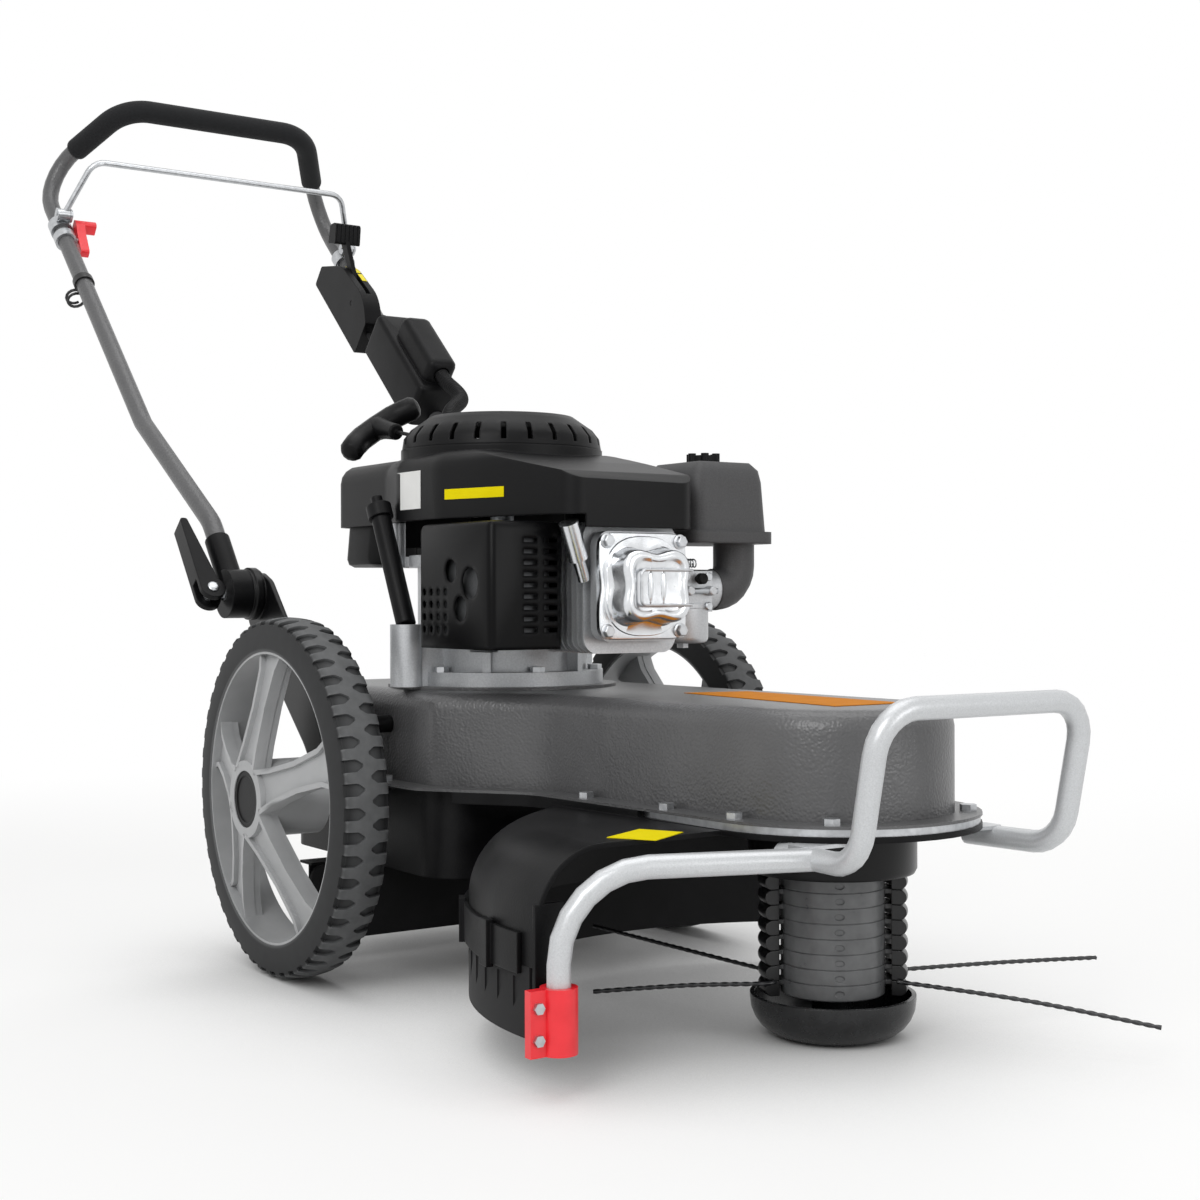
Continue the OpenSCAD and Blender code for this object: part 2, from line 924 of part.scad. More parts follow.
// Ends of the two folded cutting lines, which leave the lugs and reach the cutting circle
line_z = head_low + ring_h;
function lug_point(turn, out = -8) =
  [(lug_r + out) * cos(head_turn + turn), (lug_r + out) * sin(head_turn + turn), line_z];
beside_lug = lug_angle / 2 + asin((line_d / 2 + gap) / (lug_r - 8));
line_routes = [
  [lug_point(-beside_lug), [96, -134, 40], [155, -221, 27]],
  [lug_point(beside_lug), [160, -38, 48], [262, -64, 45]],
  [lug_point(180 + beside_lug), lug_point(181 + beside_lug, 6), [-120, 50, 47], [-185, 94, 42]],
  [lug_point(180 - beside_lug), [-56, 150, 56], [-71, 262, 60]]
];

// The two ends of one folded line
module cutting_lines(first) {
  color(rubber)
    for (route = [line_routes[first], line_routes[first + 1]]) {
      curve = smooth(route, 5);
      bar_along(curve, line_d, 6);
    }
}

// Wheels, drawn about Z with the tyre's outer face at z = 0 and the outside upwards

module on_wheel(side) {
  translate([cx + side * wheel_out, axle_back, axle_z])
    rotate([0, side * 90, 0])
      children();
}

wheel_r = wheel_d / 2;

module tyre() {
  edge = 1.5;
  low = -tyre_w;
  pitch = 360 / tread_count;
  half = 0.26 * pitch * PI * wheel_d / 360;
  depth = tyre_w * 0.42;
  color(rubber)
    difference() {
      rotate_extrude()
        polygon([
          [rim_r + fit, low + 4],
          [rim_r + fit, -4],
          [rim_r + 4, -edge],
          [rim_r + 12, 0],
          [wheel_r - 7, -edge],
          [wheel_r - 3, -5],
          [wheel_r, -tyre_w / 2 + 6],
          [wheel_r, -tyre_w / 2 - 6],
          [wheel_r - 3, low + 5],
          [wheel_r - 7, low + edge],
          [rim_r + 12, low],
          [rim_r + 4, low + edge]
        ]);
      for (i = [0:tread_count - 1], row = [0, 1])
        rotate([0, 0, (i + row / 2) * pitch])
          translate([wheel_r - tread_depth, 0, row * low])
            mirror([0, 0, row])
              rotate([90, 0, 90])
                linear_extrude(10)
                  polygon([
                    [-half, cut],
                    [-half, 6 - depth],
                    [0, -depth],
                    [half, 6 - depth],
                    [half, cut]
                  ]);
    }
}

barrel_t = 8;
web_t = 14;
hub_in = 50;
seat_r = rim_r - barrel_t;

// Four corners of an upright section across +X
function section(x, y0, y1, z0, z1) = [[x, y0, z0], [x, y1, z0], [x, y1, z1], [x, y0, z1]];

// One spoke along +X: a plate between two ribs, from the hub out to the barrel
module spoke() {
  rib_h = 5;
  rib_w = 5;
  face_hub = hub_out - 6;
  fall = 26;
  stations = [
    [hub_r - 8, 22],
    [hub_r + 14, 18],
    [(hub_r + seat_r) / 2, 15.5],
    [seat_r - 16, 18.5],
    [seat_r - 5, 23.5],
    [seat_r + 3, 30]
  ];
  tops = [for (p = stations) face_hub - fall * (p.x - hub_r) / (seat_r - hub_r)];
  all = [0:len(stations) - 1];
  loft([for (i = all) section(stations[i].x, 1 - stations[i].y, stations[i].y - 1, tops[i] - web_t, tops[i])]);
  for (side = [-1, 1])
    loft([
      for (i = all)
        let (y = side * (stations[i].y - rib_w / 2))
        section(stations[i].x, y - rib_w / 2, y + rib_w / 2, tops[i] - web_t / 2, tops[i] + rib_h)
    ]);
}

module rim() {
  color(silver)
    difference() {
      union() {
        rotate_extrude()
          polygon([
            [seat_r, -tyre_w - 1],
            [rim_r + 2, -tyre_w - 1],
            [rim_r + 2, -tyre_w + 1],
            [rim_r, 3 - tyre_w],
            [rim_r, -3],
            [rim_r + 2, -1],
            [rim_r + 2, 1],
            [seat_r, 1]
          ]);
        for (i = [0:spoke_count - 1])
          rotate([0, 0, i * 360 / spoke_count])
            spoke();
        translate([0, 0, -hub_in])
          cylinder(r = hub_r, h = hub_in + hub_out);
      }
      translate([0, 0, -hub_in - cut])
        cylinder(d = axle_d + 2 * running, h = hub_in + hub_out);
      translate([0, 0, hub_out - 12])
        cylinder(r = hub_r - 10, h = 12 + cut);
    }
}

module hub_cap() {
  color(black)
    translate([0, 0, hub_out - 4])
      difference() {
        cylinder(r = hub_r - 10 - fit, h = 3);
        translate([0, 0, 2])
          cylinder(r = hub_r - 15, h = 2);
      }
}

axle_half = wheel_out + hub_out - 6;

// Ring around the axle
module axle_ring(d, h, sides) {
  difference() {
    cylinder(d = d, h = h, $fn = sides);
    translate([0, 0, -cut])
      cylinder(d = axle_d + 2 * running, h = h + 2 * cut);
  }
}

module axle() {
  spacer = wheel_out - hub_in - frame_out - 2 * gap;
  color(steel) {
    translate([cx - axle_half, axle_back, axle_z])
      rotate([0, 90, 0])
        cylinder(d = axle_d, h = 2 * axle_half);
    for (side = [-1, 1])
      on_wheel(side) {
        translate([0, 0, hub_out - 12 + gap])
          axle_ring(1.7 * axle_d, 6, 6);
        translate([0, 0, -hub_in - gap - spacer])
          axle_ring(axle_d + 8, spacer, 48);
      }
  }
}

// Side plates that carry the axle and the handle, drawn for the right side

pivot_y = 700;
pivot_z = flange_z + 189;
frame_standoff = flange_w + 4;
frame_in = rear_half + frame_standoff;
frame_out = frame_in + plate_side_t;
frame_x = cx - frame_in;
frame_bolt_places = [[axle_back - 42, flange_z + 58], [axle_back + 46, flange_z + 65]];

module at_frame_bolts() {
  for (p = frame_bolt_places)
    translate([frame_x, p.x, p.y])
      rotate([0, 90, 0])
        children();
}

module side_plates() {
  both_sides() {
    side_plate();
    frame_spacer();
    knuckle_base();
  }
}

module side_plate() {
  outline = [
    [axle_back - 30, axle_z - 26, 14],
    [axle_back + 34, axle_z - 26, 20],
    [axle_back + 92, flange_z + 30, 40],
    [pivot_y + 30, pivot_z - 26, 24],
    [pivot_y + 6, pivot_z + 30, 24],
    [pivot_y - 34, pivot_z + 14, 24],
    [axle_back + 66, flange_z + 84, 30],
    [axle_back - 60, flange_z + 84, 14],
    [axle_back - 60, flange_z + 34, 20]
  ];
  color(black)
    difference() {
      across(frame_x - plate_side_t)
        linear_extrude(plate_side_t)
          polygon(rounded(outline));
      translate([frame_x - plate_side_t - cut, axle_back, axle_z])
        rotate([0, 90, 0])
          cylinder(d = axle_d + 2 * running, h = plate_side_t + 2 * cut);
      translate([frame_x - plate_side_t - cut, pivot_y, pivot_z])
        rotate([0, 90, 0])
          cylinder(d = clamp_d + 2 * running, h = plate_side_t + 2 * cut);
      at_frame_bolts()
        translate([0, 0, -plate_side_t - cut])
          cylinder(d = hole_d, h = plate_side_t + 2 * cut);
    }
}

module frame_spacer() {
  color(steel)
    at_frame_bolts()
      difference() {
        cylinder(d = bolt_d + 10, h = frame_standoff);
        translate([0, 0, -cut])
          cylinder(d = hole_d, h = frame_standoff + 2 * cut);
      }
}

disc_t = 14;
socket_t = 24;
socket_d = tube_d + 6;
knuckle_x = frame_x - plate_side_t;
socket_x = knuckle_x - disc_t - gap - socket_t / 2;

module at_knuckle(x) {
  translate([x, pivot_y, pivot_z])
    rotate([0, 90, 0])
      children();
}

module knuckle_base() {
  color(plastic)
    at_knuckle(knuckle_x - disc_t)
      difference() {
        union() {
          cylinder(r = knuckle_r, h = disc_t);
          translate([0, 0, 3])
            cylinder(r = knuckle_r + 2, h = disc_t - 6);
        }
        translate([0, 0, -cut])
          cylinder(d = clamp_d + 2 * running, h = disc_t + 2 * cut);
      }
}

// Point in the part's frame of a place on the handle
function from_handle(x, s, h) = [
  x,
  pivot_y + s * cos(handle_slope) - h * sin(handle_slope),
  pivot_z + s * sin(handle_slope) + h * cos(handle_slope)
];

// Folding handle, drawn along +Y from its pivot and turned to its slope

module on_handle() {
  translate([0, pivot_y, pivot_z])
    rotate([handle_slope, 0, 0])
      children();
}

side_x = cx - handle_half;
tube_h = -19;
socket_turn = 8.4;
// Middle and half length of the cable box, which sits above the tube's lower bend
cable_box_at = handle_len - 423;
box_half = 88;
side_path = [
  [socket_x, 24, 24 * tan(socket_turn)],
  [socket_x, 104, 104 * tan(socket_turn)],
  [side_x, cable_box_at - box_half - 48, tube_h],
  [side_x, handle_len, tube_h],
  [cx - bar_half, handle_len - 37, tube_h + bar_rise]
];
handle_path = concat(side_path, backwards([for (p = side_path) opposite(p)]));
handle_bend = 58;

module handle_tube() {
  color(hammered)
    on_handle()
      tube_along(bent(handle_path, handle_bend), tube_d, tube_d - 2 * tube_wall, 12);
}

grip_from = side_path[3] + 0.40 * (side_path[4] - side_path[3]);
grip_path = [grip_from, side_path[4], opposite(side_path[4]), opposite(grip_from)];

module foam_grip() {
  sides = 12;
  bore = (tube_d + 6 * fit) / cos(180 / sides);
  color(rubber)
    on_handle()
      tube_along(bent(grip_path, handle_bend), grip_d, bore, sides);
}

module knuckle_arm() {
  start = 22;
  length = 56;
  color(plastic)
    difference() {
      union() {
        at_knuckle(knuckle_x - disc_t - gap - socket_t)
          cylinder(r = knuckle_r, h = socket_t);
        on_handle()
          rotate([socket_turn, 0, 0])
            rotate([-90, 0, 0])
              translate([socket_x, 0, 8])
                cylinder(d = socket_d, h = start + length - 8);
      }
      on_handle()
        rotate([socket_turn, 0, 0])
          rotate([-90, 0, 0])
            translate([socket_x, 0, start])
              cylinder(d = tube_d + 2 * fit, h = length + cut);
      at_knuckle(knuckle_x - disc_t - gap - socket_t - cut)
        cylinder(d = clamp_d + 2 * running, h = socket_t + 2 * cut);
      on_handle()
        translate([knuckle_x - disc_t - gap, -60, -60])
          cube([disc_t + gap, 200, 200]);
    }
}

// Clamp bolt with an eye for the cam lever's pin

eye_d = 12;
pin_d = 6;
cam_r = 14;
clamp_end = socket_x - socket_d / 2;
pin_x = clamp_end - gap - cam_r;

module clamp_bolt() {
  seat = socket_x - socket_t / 2;
  color(steel)
    on_handle()
      rotate([socket_turn, 0, 0])
        difference() {
          union() {
            rod([pin_x, 0, 0], [frame_x + gap, 0, 0], clamp_d);
            rod([clamp_end, 0, 0], [seat - fit, 0, 0], 1.5 * clamp_d);
            rod([frame_x + gap, 0, 0], [frame_x + gap + 6, 0, 0], 1.8 * clamp_d);
            rod([pin_x, 0, -eye_d / 2], [pin_x, 0, eye_d / 2], eye_d);
          }
          rod([pin_x, 0, -eye_d], [pin_x, 0, eye_d], pin_d + 2 * running);
        }
}

module cam_lever() {
  cheek = 6;
  half = eye_d / 2 + gap + cheek;
  arm_t = 8;
  color(black)
    on_handle()
      rotate([socket_turn, 0, 0])
        translate([pin_x, 0, 0]) {
          difference() {
            union() {
              translate([0, 0, -half])
                cylinder(r = cam_r, h = 2 * half);
              translate([0, 0, -half])
                linear_extrude(2 * half)
                  polygon(rounded([
                    [-cam_r, 0, 1],
                    [cam_r - 4, 0, 1],
                    [cam_r - 8, 26, 14],
                    [arm_t - cam_r, lever_len, 3],
                    [-cam_r, lever_len, 3]
                  ], 0, 18));
            }
            translate([-cam_r - cut, -cam_r - cut, -eye_d / 2 - gap])
              cube([2 * cam_r + 2 * cut, 2 * cam_r + cut + 2, eye_d + 2 * gap]);
          }
          cylinder(d = pin_d, h = 2 * half, center = true);
        }
}

// Bail and the pieces clamped to the handle

bail_at = handle_len - 125;
bail_h = tube_h + 23;
bail_corner = [side_x + 29, bail_at + 19, bail_h + 75];
bail_path = [
  [side_x, bail_at, bail_h],
  bail_corner,
  opposite(bail_corner),
  opposite([side_x, bail_at, bail_h])
];
bail_pin_d = 6;
eye_half = bail_d / 2 + 2.8;

module bail() {
  color(silver)
    on_handle()
      difference() {
        union() {
          bar_along(bent(bail_path, 24), bail_d, 10);
          for (p = [bail_path[0], bail_path[3]])
            rod([p.x - eye_half, p.y, p.z], [p.x + eye_half, p.y, p.z], bail_pin_d + 8);
        }
        for (p = [bail_path[0], bail_path[3]])
          rod([p.x - 10, p.y, p.z], [p.x + 10, p.y, p.z], bail_pin_d + 2 * running);
      }
}

// Ring that clamps around a side tube
module tube_clamp(x, at, width, wall) {
  translate([x, at - width / 2, tube_h])
    rotate([-90, 0, 0])
      difference() {
        cylinder(d = tube_d + 2 * wall, h = width);
        translate([0, 0, -cut])
          cylinder(d = tube_d + 2 * fit, h = width + 2 * cut);
      }
}

module handle_clamps() {
  both_sides()
    bail_bracket();
  latch_bracket();
  rope_guide();
}

module bail_bracket() {
  ear_t = 3;
  ear_in = eye_half + gap;
  pin_half = ear_in + ear_t + 1;
  color(steel)
    on_handle() {
      tube_clamp(side_x, bail_at, 20, 4);
      for (x = [side_x - ear_in - ear_t, side_x + ear_in])
        across(x)
          linear_extrude(ear_t)
            polygon(rounded(box_corners(bail_at - 8, bail_at + 8, tube_h + 13, bail_h + 7, 6), 0, 18));
      rod([side_x - pin_half, bail_at, bail_h], [side_x + pin_half, bail_at, bail_h], bail_pin_d);
    }
}

latch_at = handle_len - 152;

module latch_bracket() {
  color(steel)
    on_handle() {
      tube_clamp(side_x, latch_at, 14, 3.5);
      rod([side_x + 12, latch_at, tube_h], [side_x + 30, latch_at, tube_h], 7);
    }
}

module bail_latch() {
  plate = 12;
  color(red)
    on_handle()
      translate([side_x + 16, latch_at, tube_h])
        difference() {
          union() {
            across(0)
              linear_extrude(plate)
                polygon(rounded([
                  [-24, -12, 4],
                  [8, -11, 4],
                  [30, -3, 4],
                  [30, 16, 4],
                  [18, 16, 4],
                  [6, 9, 6],
                  [-24, 0, 4]
                ], 0, 18));
            across(plate - cut)
              linear_extrude(18)
                polygon(rounded(box_corners(19, 30, -2, 16, 4), 0, 18));
          }
          rod([-cut, 0, 0], [plate + cut, 0, 0], 7 + 2 * running);
        }
}

guide_at = handle_len - 250;

module rope_guide() {
  turns = 1.6;
  steps = 26;
  coil = [
    for (k = [0:steps])
      let (a = 90 + 360 * turns * k / steps)
      [side_x + 12 * cos(a), guide_at + 13 * k / steps, tube_h - 33 + 12 * sin(a)]
  ];
  curve = concat([[side_x, guide_at - 6, tube_h - 13]], coil);
  color(steel)
    on_handle() {
      bar_along(curve, 4, 6);
      tube_clamp(side_x, guide_at - 6, 10, 2.5);
    }
}

// Throttle control on the left side tube

left_x = 2 * cx - side_x;
box_t = 26;
box_in = left_x - tube_d / 2 - fit - box_t;
lever_at = [handle_len - 255, tube_h + 9];
lever_slot = 7;
box_low = 57;

module throttle_box() {
  color(black)
    on_handle()
      difference() {
        union() {
          across(box_in)
            linear_extrude(box_t)
              translate(lever_at)
                polygon(rounded([
                  [-box_low, -48, 4],
                  [119, -48, 4],
                  [119, -16, 6],
                  [64, 22, 60],
                  [-26, 30, 60],
                  [-box_low, 4, 6]
                ]));
          tube_clamp(left_x, lever_at.x - 40, 16, 4);
        }
        translate([box_in + (box_t - lever_slot) / 2, lever_at.x - 14, lever_at.y - 14])
          cube([lever_slot, 150, 70]);
        translate([left_x, 0, tube_h])
          rotate([-90, 0, 0])
            cylinder(d = tube_d + 2 * fit, h = handle_len);
        rod(
          [box_in - cut, lever_at.x, lever_at.y],
          [box_in + box_t + cut, lever_at.x, lever_at.y],
          8 + 2 * running
        );
        cable_along(cable_d + 2 * fit, 1);
      }
}

module throttle_lever() {
  middle = box_in + box_t / 2;
  blade = lever_slot - 2 * gap;
  reach = [104, 44];
  color(black)
    on_handle() {
      rod(
        [box_in + gap, lever_at.x, lever_at.y],
        [box_in + box_t - gap, lever_at.x, lever_at.y],
        8
      );
      across(middle - blade / 2)
        linear_extrude(blade)
          translate(lever_at)
            polygon([[-3, 4], [4, -3], reach + [3, -7], reach + [-6, 5]]);
      across(middle - 20)
        linear_extrude(40)
          translate(lever_at + reach)
            polygon(rounded([[-14, -2, 3], [6, -14, 3], [18, 10, 4], [4, 24, 6]], 0, 18));
    }
}

// Housing for the cables around the left side tube
cover_from = 14;

module cable_box() {
  color(black)
    on_handle()
      difference() {
        translate([left_x, cable_box_at, tube_h]) {
          domed(box_corners(-40, 20, -box_half, box_half, 10), -14, 48, 8, 0, 3, 15);
          domed(box_corners(-30, 14, cover_from - box_half, 40, 12), 44, 80, 10, 0, 3, 15);
        }
        translate([left_x, 0, tube_h])
          rotate([-90, 0, 0])
            cylinder(d = tube_d + 2 * fit, h = handle_len);
        cable_along(cable_d + 2 * fit, 1);
        translate([conduit_x, conduit_from - cut, conduit_h])
          rotate([-90, 0, 0])
            cylinder(d = conduit_d + 2, h = cable_in + 2 + cut);
      }
}

// Short cable between the throttle box and the housing, in a hole in each
cable_d = 7;
cable_in = 6;
cable_at = [left_x - 26, tube_h - 5];

module cable_along(d, more) {
  rod(
    [cable_at.x, cable_box_at + box_half - cable_in - more, cable_at.y],
    [cable_at.x, lever_at.x - box_low + cable_in + more, cable_at.y],
    d
  );
}

module throttle_cable() {
  color(rubber)
    on_handle()
      cable_along(cable_d, 0);
}

// Ribbed conduit from the cable box down to the engine
conduit_d = 20;
conduit_from = cable_box_at - box_half + cover_from;
conduit_x = left_x - 8;
conduit_h = tube_h + 62;
conduit_route = [
  from_handle(conduit_x, conduit_from + cable_in, conduit_h),
  from_handle(conduit_x, conduit_from - 14, conduit_h),
  from_handle(conduit_x - 4, conduit_from - 70, conduit_h + 12),
  [96, 838, pivot_z + 226],
  [48, 742, pivot_z + 152],
  [22, 690, pivot_z + 98],
  [14, 651, pivot_z + 82]
];

module conduit() {
  steps = 16;
  curve = smooth(conduit_route, steps);
  ribs = [for (i = [0:len(curve) - 1]) conduit_d / 2 - 2 * (i % 2)];
  middle = [for (i = [0:4:len(curve) - 1]) curve[i]];
  color(black)
    hollow(around(curve, ribs, 8), around(middle, [for (p = middle) conduit_d / 2 - 5], 8));
}

// Engine, drawn from the pad under the crankshaft

module on_pad() {
  translate([crank_x, crank_back, pad_z])
    children();
}

barrel_x = 21;

foot_t = 14;
// Posts on the crankcase that carry the shroud
shroud_posts = [[106, 30], [-96, 48]];
post_d = 14;

module at_foot_bolts() {
  for (a = [20:60:320])
    rotate([0, 0, a])
      translate([foot_r - 8, 0, 0])
        children();
}

module crankcase() {
  color(cast)
    on_pad()
      difference() {
        union() {
          cylinder(r = foot_r, h = foot_t);
          cylinder(r = foot_r - 17, h = case_h);
          translate([0, 0, case_h - 12])
            cylinder(r = foot_r - 8, h = 12);
          translate([barrel_x - 40, -foot_r - 20, bore_z - 40])
            cube([80, foot_r, 80]);
          for (a = [50:60:350])
            rotate([0, 0, a])
              translate([0, -4, 0])
                cube([foot_r - 4, 8, 34]);
          translate([oil_from.x, oil_from.y, 0])
            cylinder(r = 16, h = oil_from.z);
          translate([oil_from.x, oil_from.y - 5, 0])
            cube([60, 21, 40]);
          for (p = shroud_posts) {
            translate([p.x, p.y, case_h - 12])
              cylinder(d = post_d, h = shroud_low - gap - case_h + 12);
            rotate([0, 0, atan2(p.y, p.x)])
              translate([60, 3 - post_d / 2, case_h - 11])
                cube([norm(p) - 60, post_d - 6, 10]);
          }
        }
        translate([muffler_x[0] - 4, muffler_y[0], muffler_z[0] - 6])
          cube([muffler_x[1] - muffler_x[0] + 5, muffler_y[1] - muffler_y[0] + 4, case_h]);
        translate([0, 0, -cut])
          cylinder(d = crank_d + 2 * running, h = case_h + 2 * cut);
        at_foot_bolts()
          translate([0, 0, -cut])
            cylinder(d = hole_d, h = foot_t + 2 * cut);
      }
}

barrel_front = -foot_r - 114;

module cylinder_block() {
  root = -foot_r - 20;
  pitch = (root - barrel_front - 12) / fin_count;
  color(cast)
    on_pad() {
      rod([muffler_x[1] + fit, port_y, bore_z], [barrel_x - 30, port_y, bore_z], port_d);
      translate([barrel_x, root, bore_z])
        rotate([90, 0, 0]) {
          cylinder(r = 40, h = root - barrel_front);
          for (i = [0:fin_count - 1])
            translate([0, 0, 2 + i * pitch])
              linear_extrude(2.6)
                polygon(rounded(box_corners(-54, 54, -64, 62, 16), 0, 15));
          translate([0, 0, root - barrel_front - 10])
            linear_extrude(10)
              polygon(rounded(box_corners(-50, 50, -52, 52, 14), 0, 15));
        }
    }
}

// Children at the four corners of the valve cover, facing the front
module at_cover_corners() {
  reach = cover_side / 2 - 8;
  translate([barrel_x, barrel_front, bore_z])
    rotate([90, 0, 0])
      for (x = [-reach, reach], y = [-reach, reach])
        translate([x, y, 0])
          children();
}

module valve_cover() {
  half = cover_side / 2;
  color(silver)
    on_pad()
      difference() {
        translate([barrel_x, barrel_front, bore_z])
          rotate([90, 0, 0]) {
            linear_extrude(6)
              polygon(rounded(box_corners(-half, half, -half, half, 13)));
            domed(box_corners(9 - half, half - 9, 9 - half, half - 9, 22), 5, 32, 10);
          }
        at_cover_corners() {
          translate([0, 0, -cut])
            cylinder(d = 6.4, h = 40);
          translate([0, 0, 6])
            cylinder(d = 15, h = 40);
        }
      }
}

muffler_x = [-130, -50];
muffler_y = [-195, -57];
muffler_z = [40, 160];
guard_sheet = 1.5;
port_y = -150;
port_d = 26;

module muffler() {
  in = 6;
  color(steel)
    on_pad() {
      domed(
        box_corners(muffler_x[0] + in, muffler_x[1] - in, muffler_y[0] + in, muffler_y[1] - in, 14),
        muffler_z[0] + in, muffler_z[1] - in, 10, 0, 2, 15
      );
      rod([muffler_x[1] - in - cut, port_y, bore_z], [muffler_x[1], port_y, bore_z], port_d);
    }
}

module muffler_guard() {
  corners = box_corners(muffler_x[0], muffler_x[1], muffler_y[0], muffler_y[1], 7);
  rows = 9;
  slot_w = 15;
  color(black)
    on_pad()
      difference() {
        domed(corners, muffler_z[0], muffler_z[1], 6, 0, 2, 30);
        domed(corners, muffler_z[0] - cut, muffler_z[1] - guard_sheet, 4.5, guard_sheet, 2, 30);
        for (i = [0:rows - 1], x = [-0.05, 0.23])
          translate([
            muffler_x[0] + (0.5 + x) * (muffler_x[1] - muffler_x[0]),
            muffler_y[0] - cut,
            muffler_z[0] + 16 + i * 10.5
          ])
            cube([slot_w, 4, 4]);
        for (p = [[100, 62, 30], [64, 74, 22], [82, 38, 24]])
          translate([muffler_x[0] - cut, muffler_y[1] - p.x, muffler_z[0] + p.y])
            rotate([0, 90, 0])
              cylinder(d = p.z, h = 4);
        for (i = [0:3], z = [18, 30, 42, 54])
          translate([muffler_x[0] - cut, muffler_y[1] - 12 - i * 14, muffler_z[0] + z])
            rotate([0, 90, 0])
              cylinder(d = 7, h = 4);
        translate([muffler_x[1] - 4, port_y, bore_z])
          rotate([0, 90, 0])
            cylinder(d = port_d + 2, h = 6);
      }
}

shroud_corners = [
  [-62, -228, 22],
  [82, -232, 22],
  [88, -104, 40],
  [114, -30, 60],
  [114, 90, 60],
  [48, 205, 26],
  [-94, 205, 22],
  [-96, 76, 40],
  [-113, 20, 40],
  [-113, -60, 60]
];

// Side view of the shroud, whose top falls towards the front
module shroud_side(inset) {
  across(-200)
    linear_extrude(400)
      polygon([
        [-260, shroud_low - 12 - cut * inset],
        [-150, shroud_low - 12 - cut * inset],
        [-90, shroud_low - cut * inset],
        [260, shroud_low - cut * inset],
        [260, shroud_top - 7 - inset],
        [-88, shroud_top - 7 - inset],
        [-215, shroud_top - 34 - inset],
        [-260, shroud_top - 60 - inset]
      ]);
}

module shroud() {
  low = shroud_low - 20;
  color(plastic)
    on_pad()
      difference() {
        union() {
          intersection() {
            domed(shroud_corners, low, shroud_top - 7, 20, 0, 4, 12);
            shroud_side(0);
          }
          translate([0, 0, shroud_top - 30])
            cylinder(r = recoil_r + 1, h = 30);
        }
        difference() {
          intersection() {
            domed(shroud_corners, low - cut, shroud_top - 7 - shroud_t, 17, shroud_t, 3, 12);
            shroud_side(shroud_t);
          }
          for (p = shroud_posts)
            translate([p.x, p.y, shroud_low])
              cylinder(d = post_d, h = 20);
        }
        translate([muffler_x[0] - 40, -260, low - cut])
          cube([muffler_x[1] - muffler_x[0] + 44, 500, shroud_low - low + cut]);
        translate([0, 0, shroud_top - 40])
          cylinder(r = recoil_r - 10, h = 60);
        translate(fuel_neck + [0, 0, shroud_top - 60])
          cylinder(d = 40, h = 80);
      }
}

module recoil_cover() {
  wall = 3;
  top_r = 75;
  outer = [[recoil_r, 0], [recoil_r - 2, 12], [recoil_r - 9, recoil_h - 14], [top_r, recoil_h]];
  color(plastic)
    on_pad()
      translate([0, 0, shroud_top])
        difference() {
          rotate_extrude()
            polygon(concat([[0, 0]], outer, [[0, recoil_h]]));
          rotate_extrude()
            polygon([
              [0, -cut],
              [recoil_r - wall, -cut],
              [recoil_r - 2 - wall, 12],
              [recoil_r - 9 - wall, recoil_h - 15],
              [top_r - wall, recoil_h - wall],
              [0, recoil_h - wall]
            ]);
          for (i = [0:slot_count - 1])
            if (abs(i * 360 / slot_count - 145) > 14)
              rotate([0, 0, i * 360 / slot_count])
                translate([recoil_r - 16, -2.6, 5])
                  cube([20, 5.2, recoil_h - 18]);
          rod(rope_from, rope_from + rope_way * 120, rope_eye);
        }
}

// Starter rope and its grip, from the recoil housing towards the rear
rope_d = 4;
rope_eye = rope_d + 2 * gap;
rope_way = unit([0, 73, 13]);
rope_from = [-86, -30, 4];
rope_exit = rope_from + rope_way * 102;

module pull_grip() {
  middle = rope_exit + rope_way * 46;
  arm = [36, 0, 24];
  curve = smooth([
    middle - 1.16 * arm - rope_way * 16,
    middle - arm - rope_way * 12,
    middle - 0.5 * arm,
    middle + 0.5 * arm,
    middle + arm - rope_way * 12,
    middle + 1.16 * arm - rope_way * 16
  ], 2);
  color("#d8d8d2")
    on_pad()
      translate([0, 0, shroud_top])
        rod(rope_from + rope_way * 8, rope_exit + rope_way * 10, rope_d);
  color(black)
    on_pad()
      translate([0, 0, shroud_top])
        difference() {
          union() {
            rod(rope_exit + rope_way, rope_exit + rope_way * 44, 15);
            loft(around(curve, [5, 10, 13, 13, 13, 13, 13, 13, 13, 10, 5], 12));
          }
          rod(rope_exit - rope_way, rope_exit + rope_way * 10, rope_d + 2 * fit);
        }
}

// Crankshaft with flywheel

crank_low = pulley_z - 4;
fan_z = shroud_low + 20;

module crankshaft() {
  color(steel)
    translate([crank_x, crank_back, 0]) {
      translate([0, 0, crank_low])
        cylinder(d = crank_d, h = pad_z + fan_z + 34 - crank_low);
      translate([0, 0, pulley_z])
        pulley(drive_r, crank_d);
    }
}

module flywheel() {
  color(cast)
    on_pad()
      translate([0, 0, fan_z])
        difference() {
          union() {
            cylinder(r = 88, h = 8);
            cylinder(r = 26, h = 30);
            for (a = [0:30:330])
              rotate([0, 0, a])
                translate([44, -1.5, 0])
                  cube([42, 3, 26]);
          }
          translate([0, 0, -cut])
            cylinder(d = crank_d + 2 * fit, h = 40);
        }
}

// Fuel tank at the rear of the engine, with its neck through the shroud

tank_corners = box_corners(-88, 42, 118, 199, 18);
fuel_neck = [20, 160, 0];
neck_top = 246;

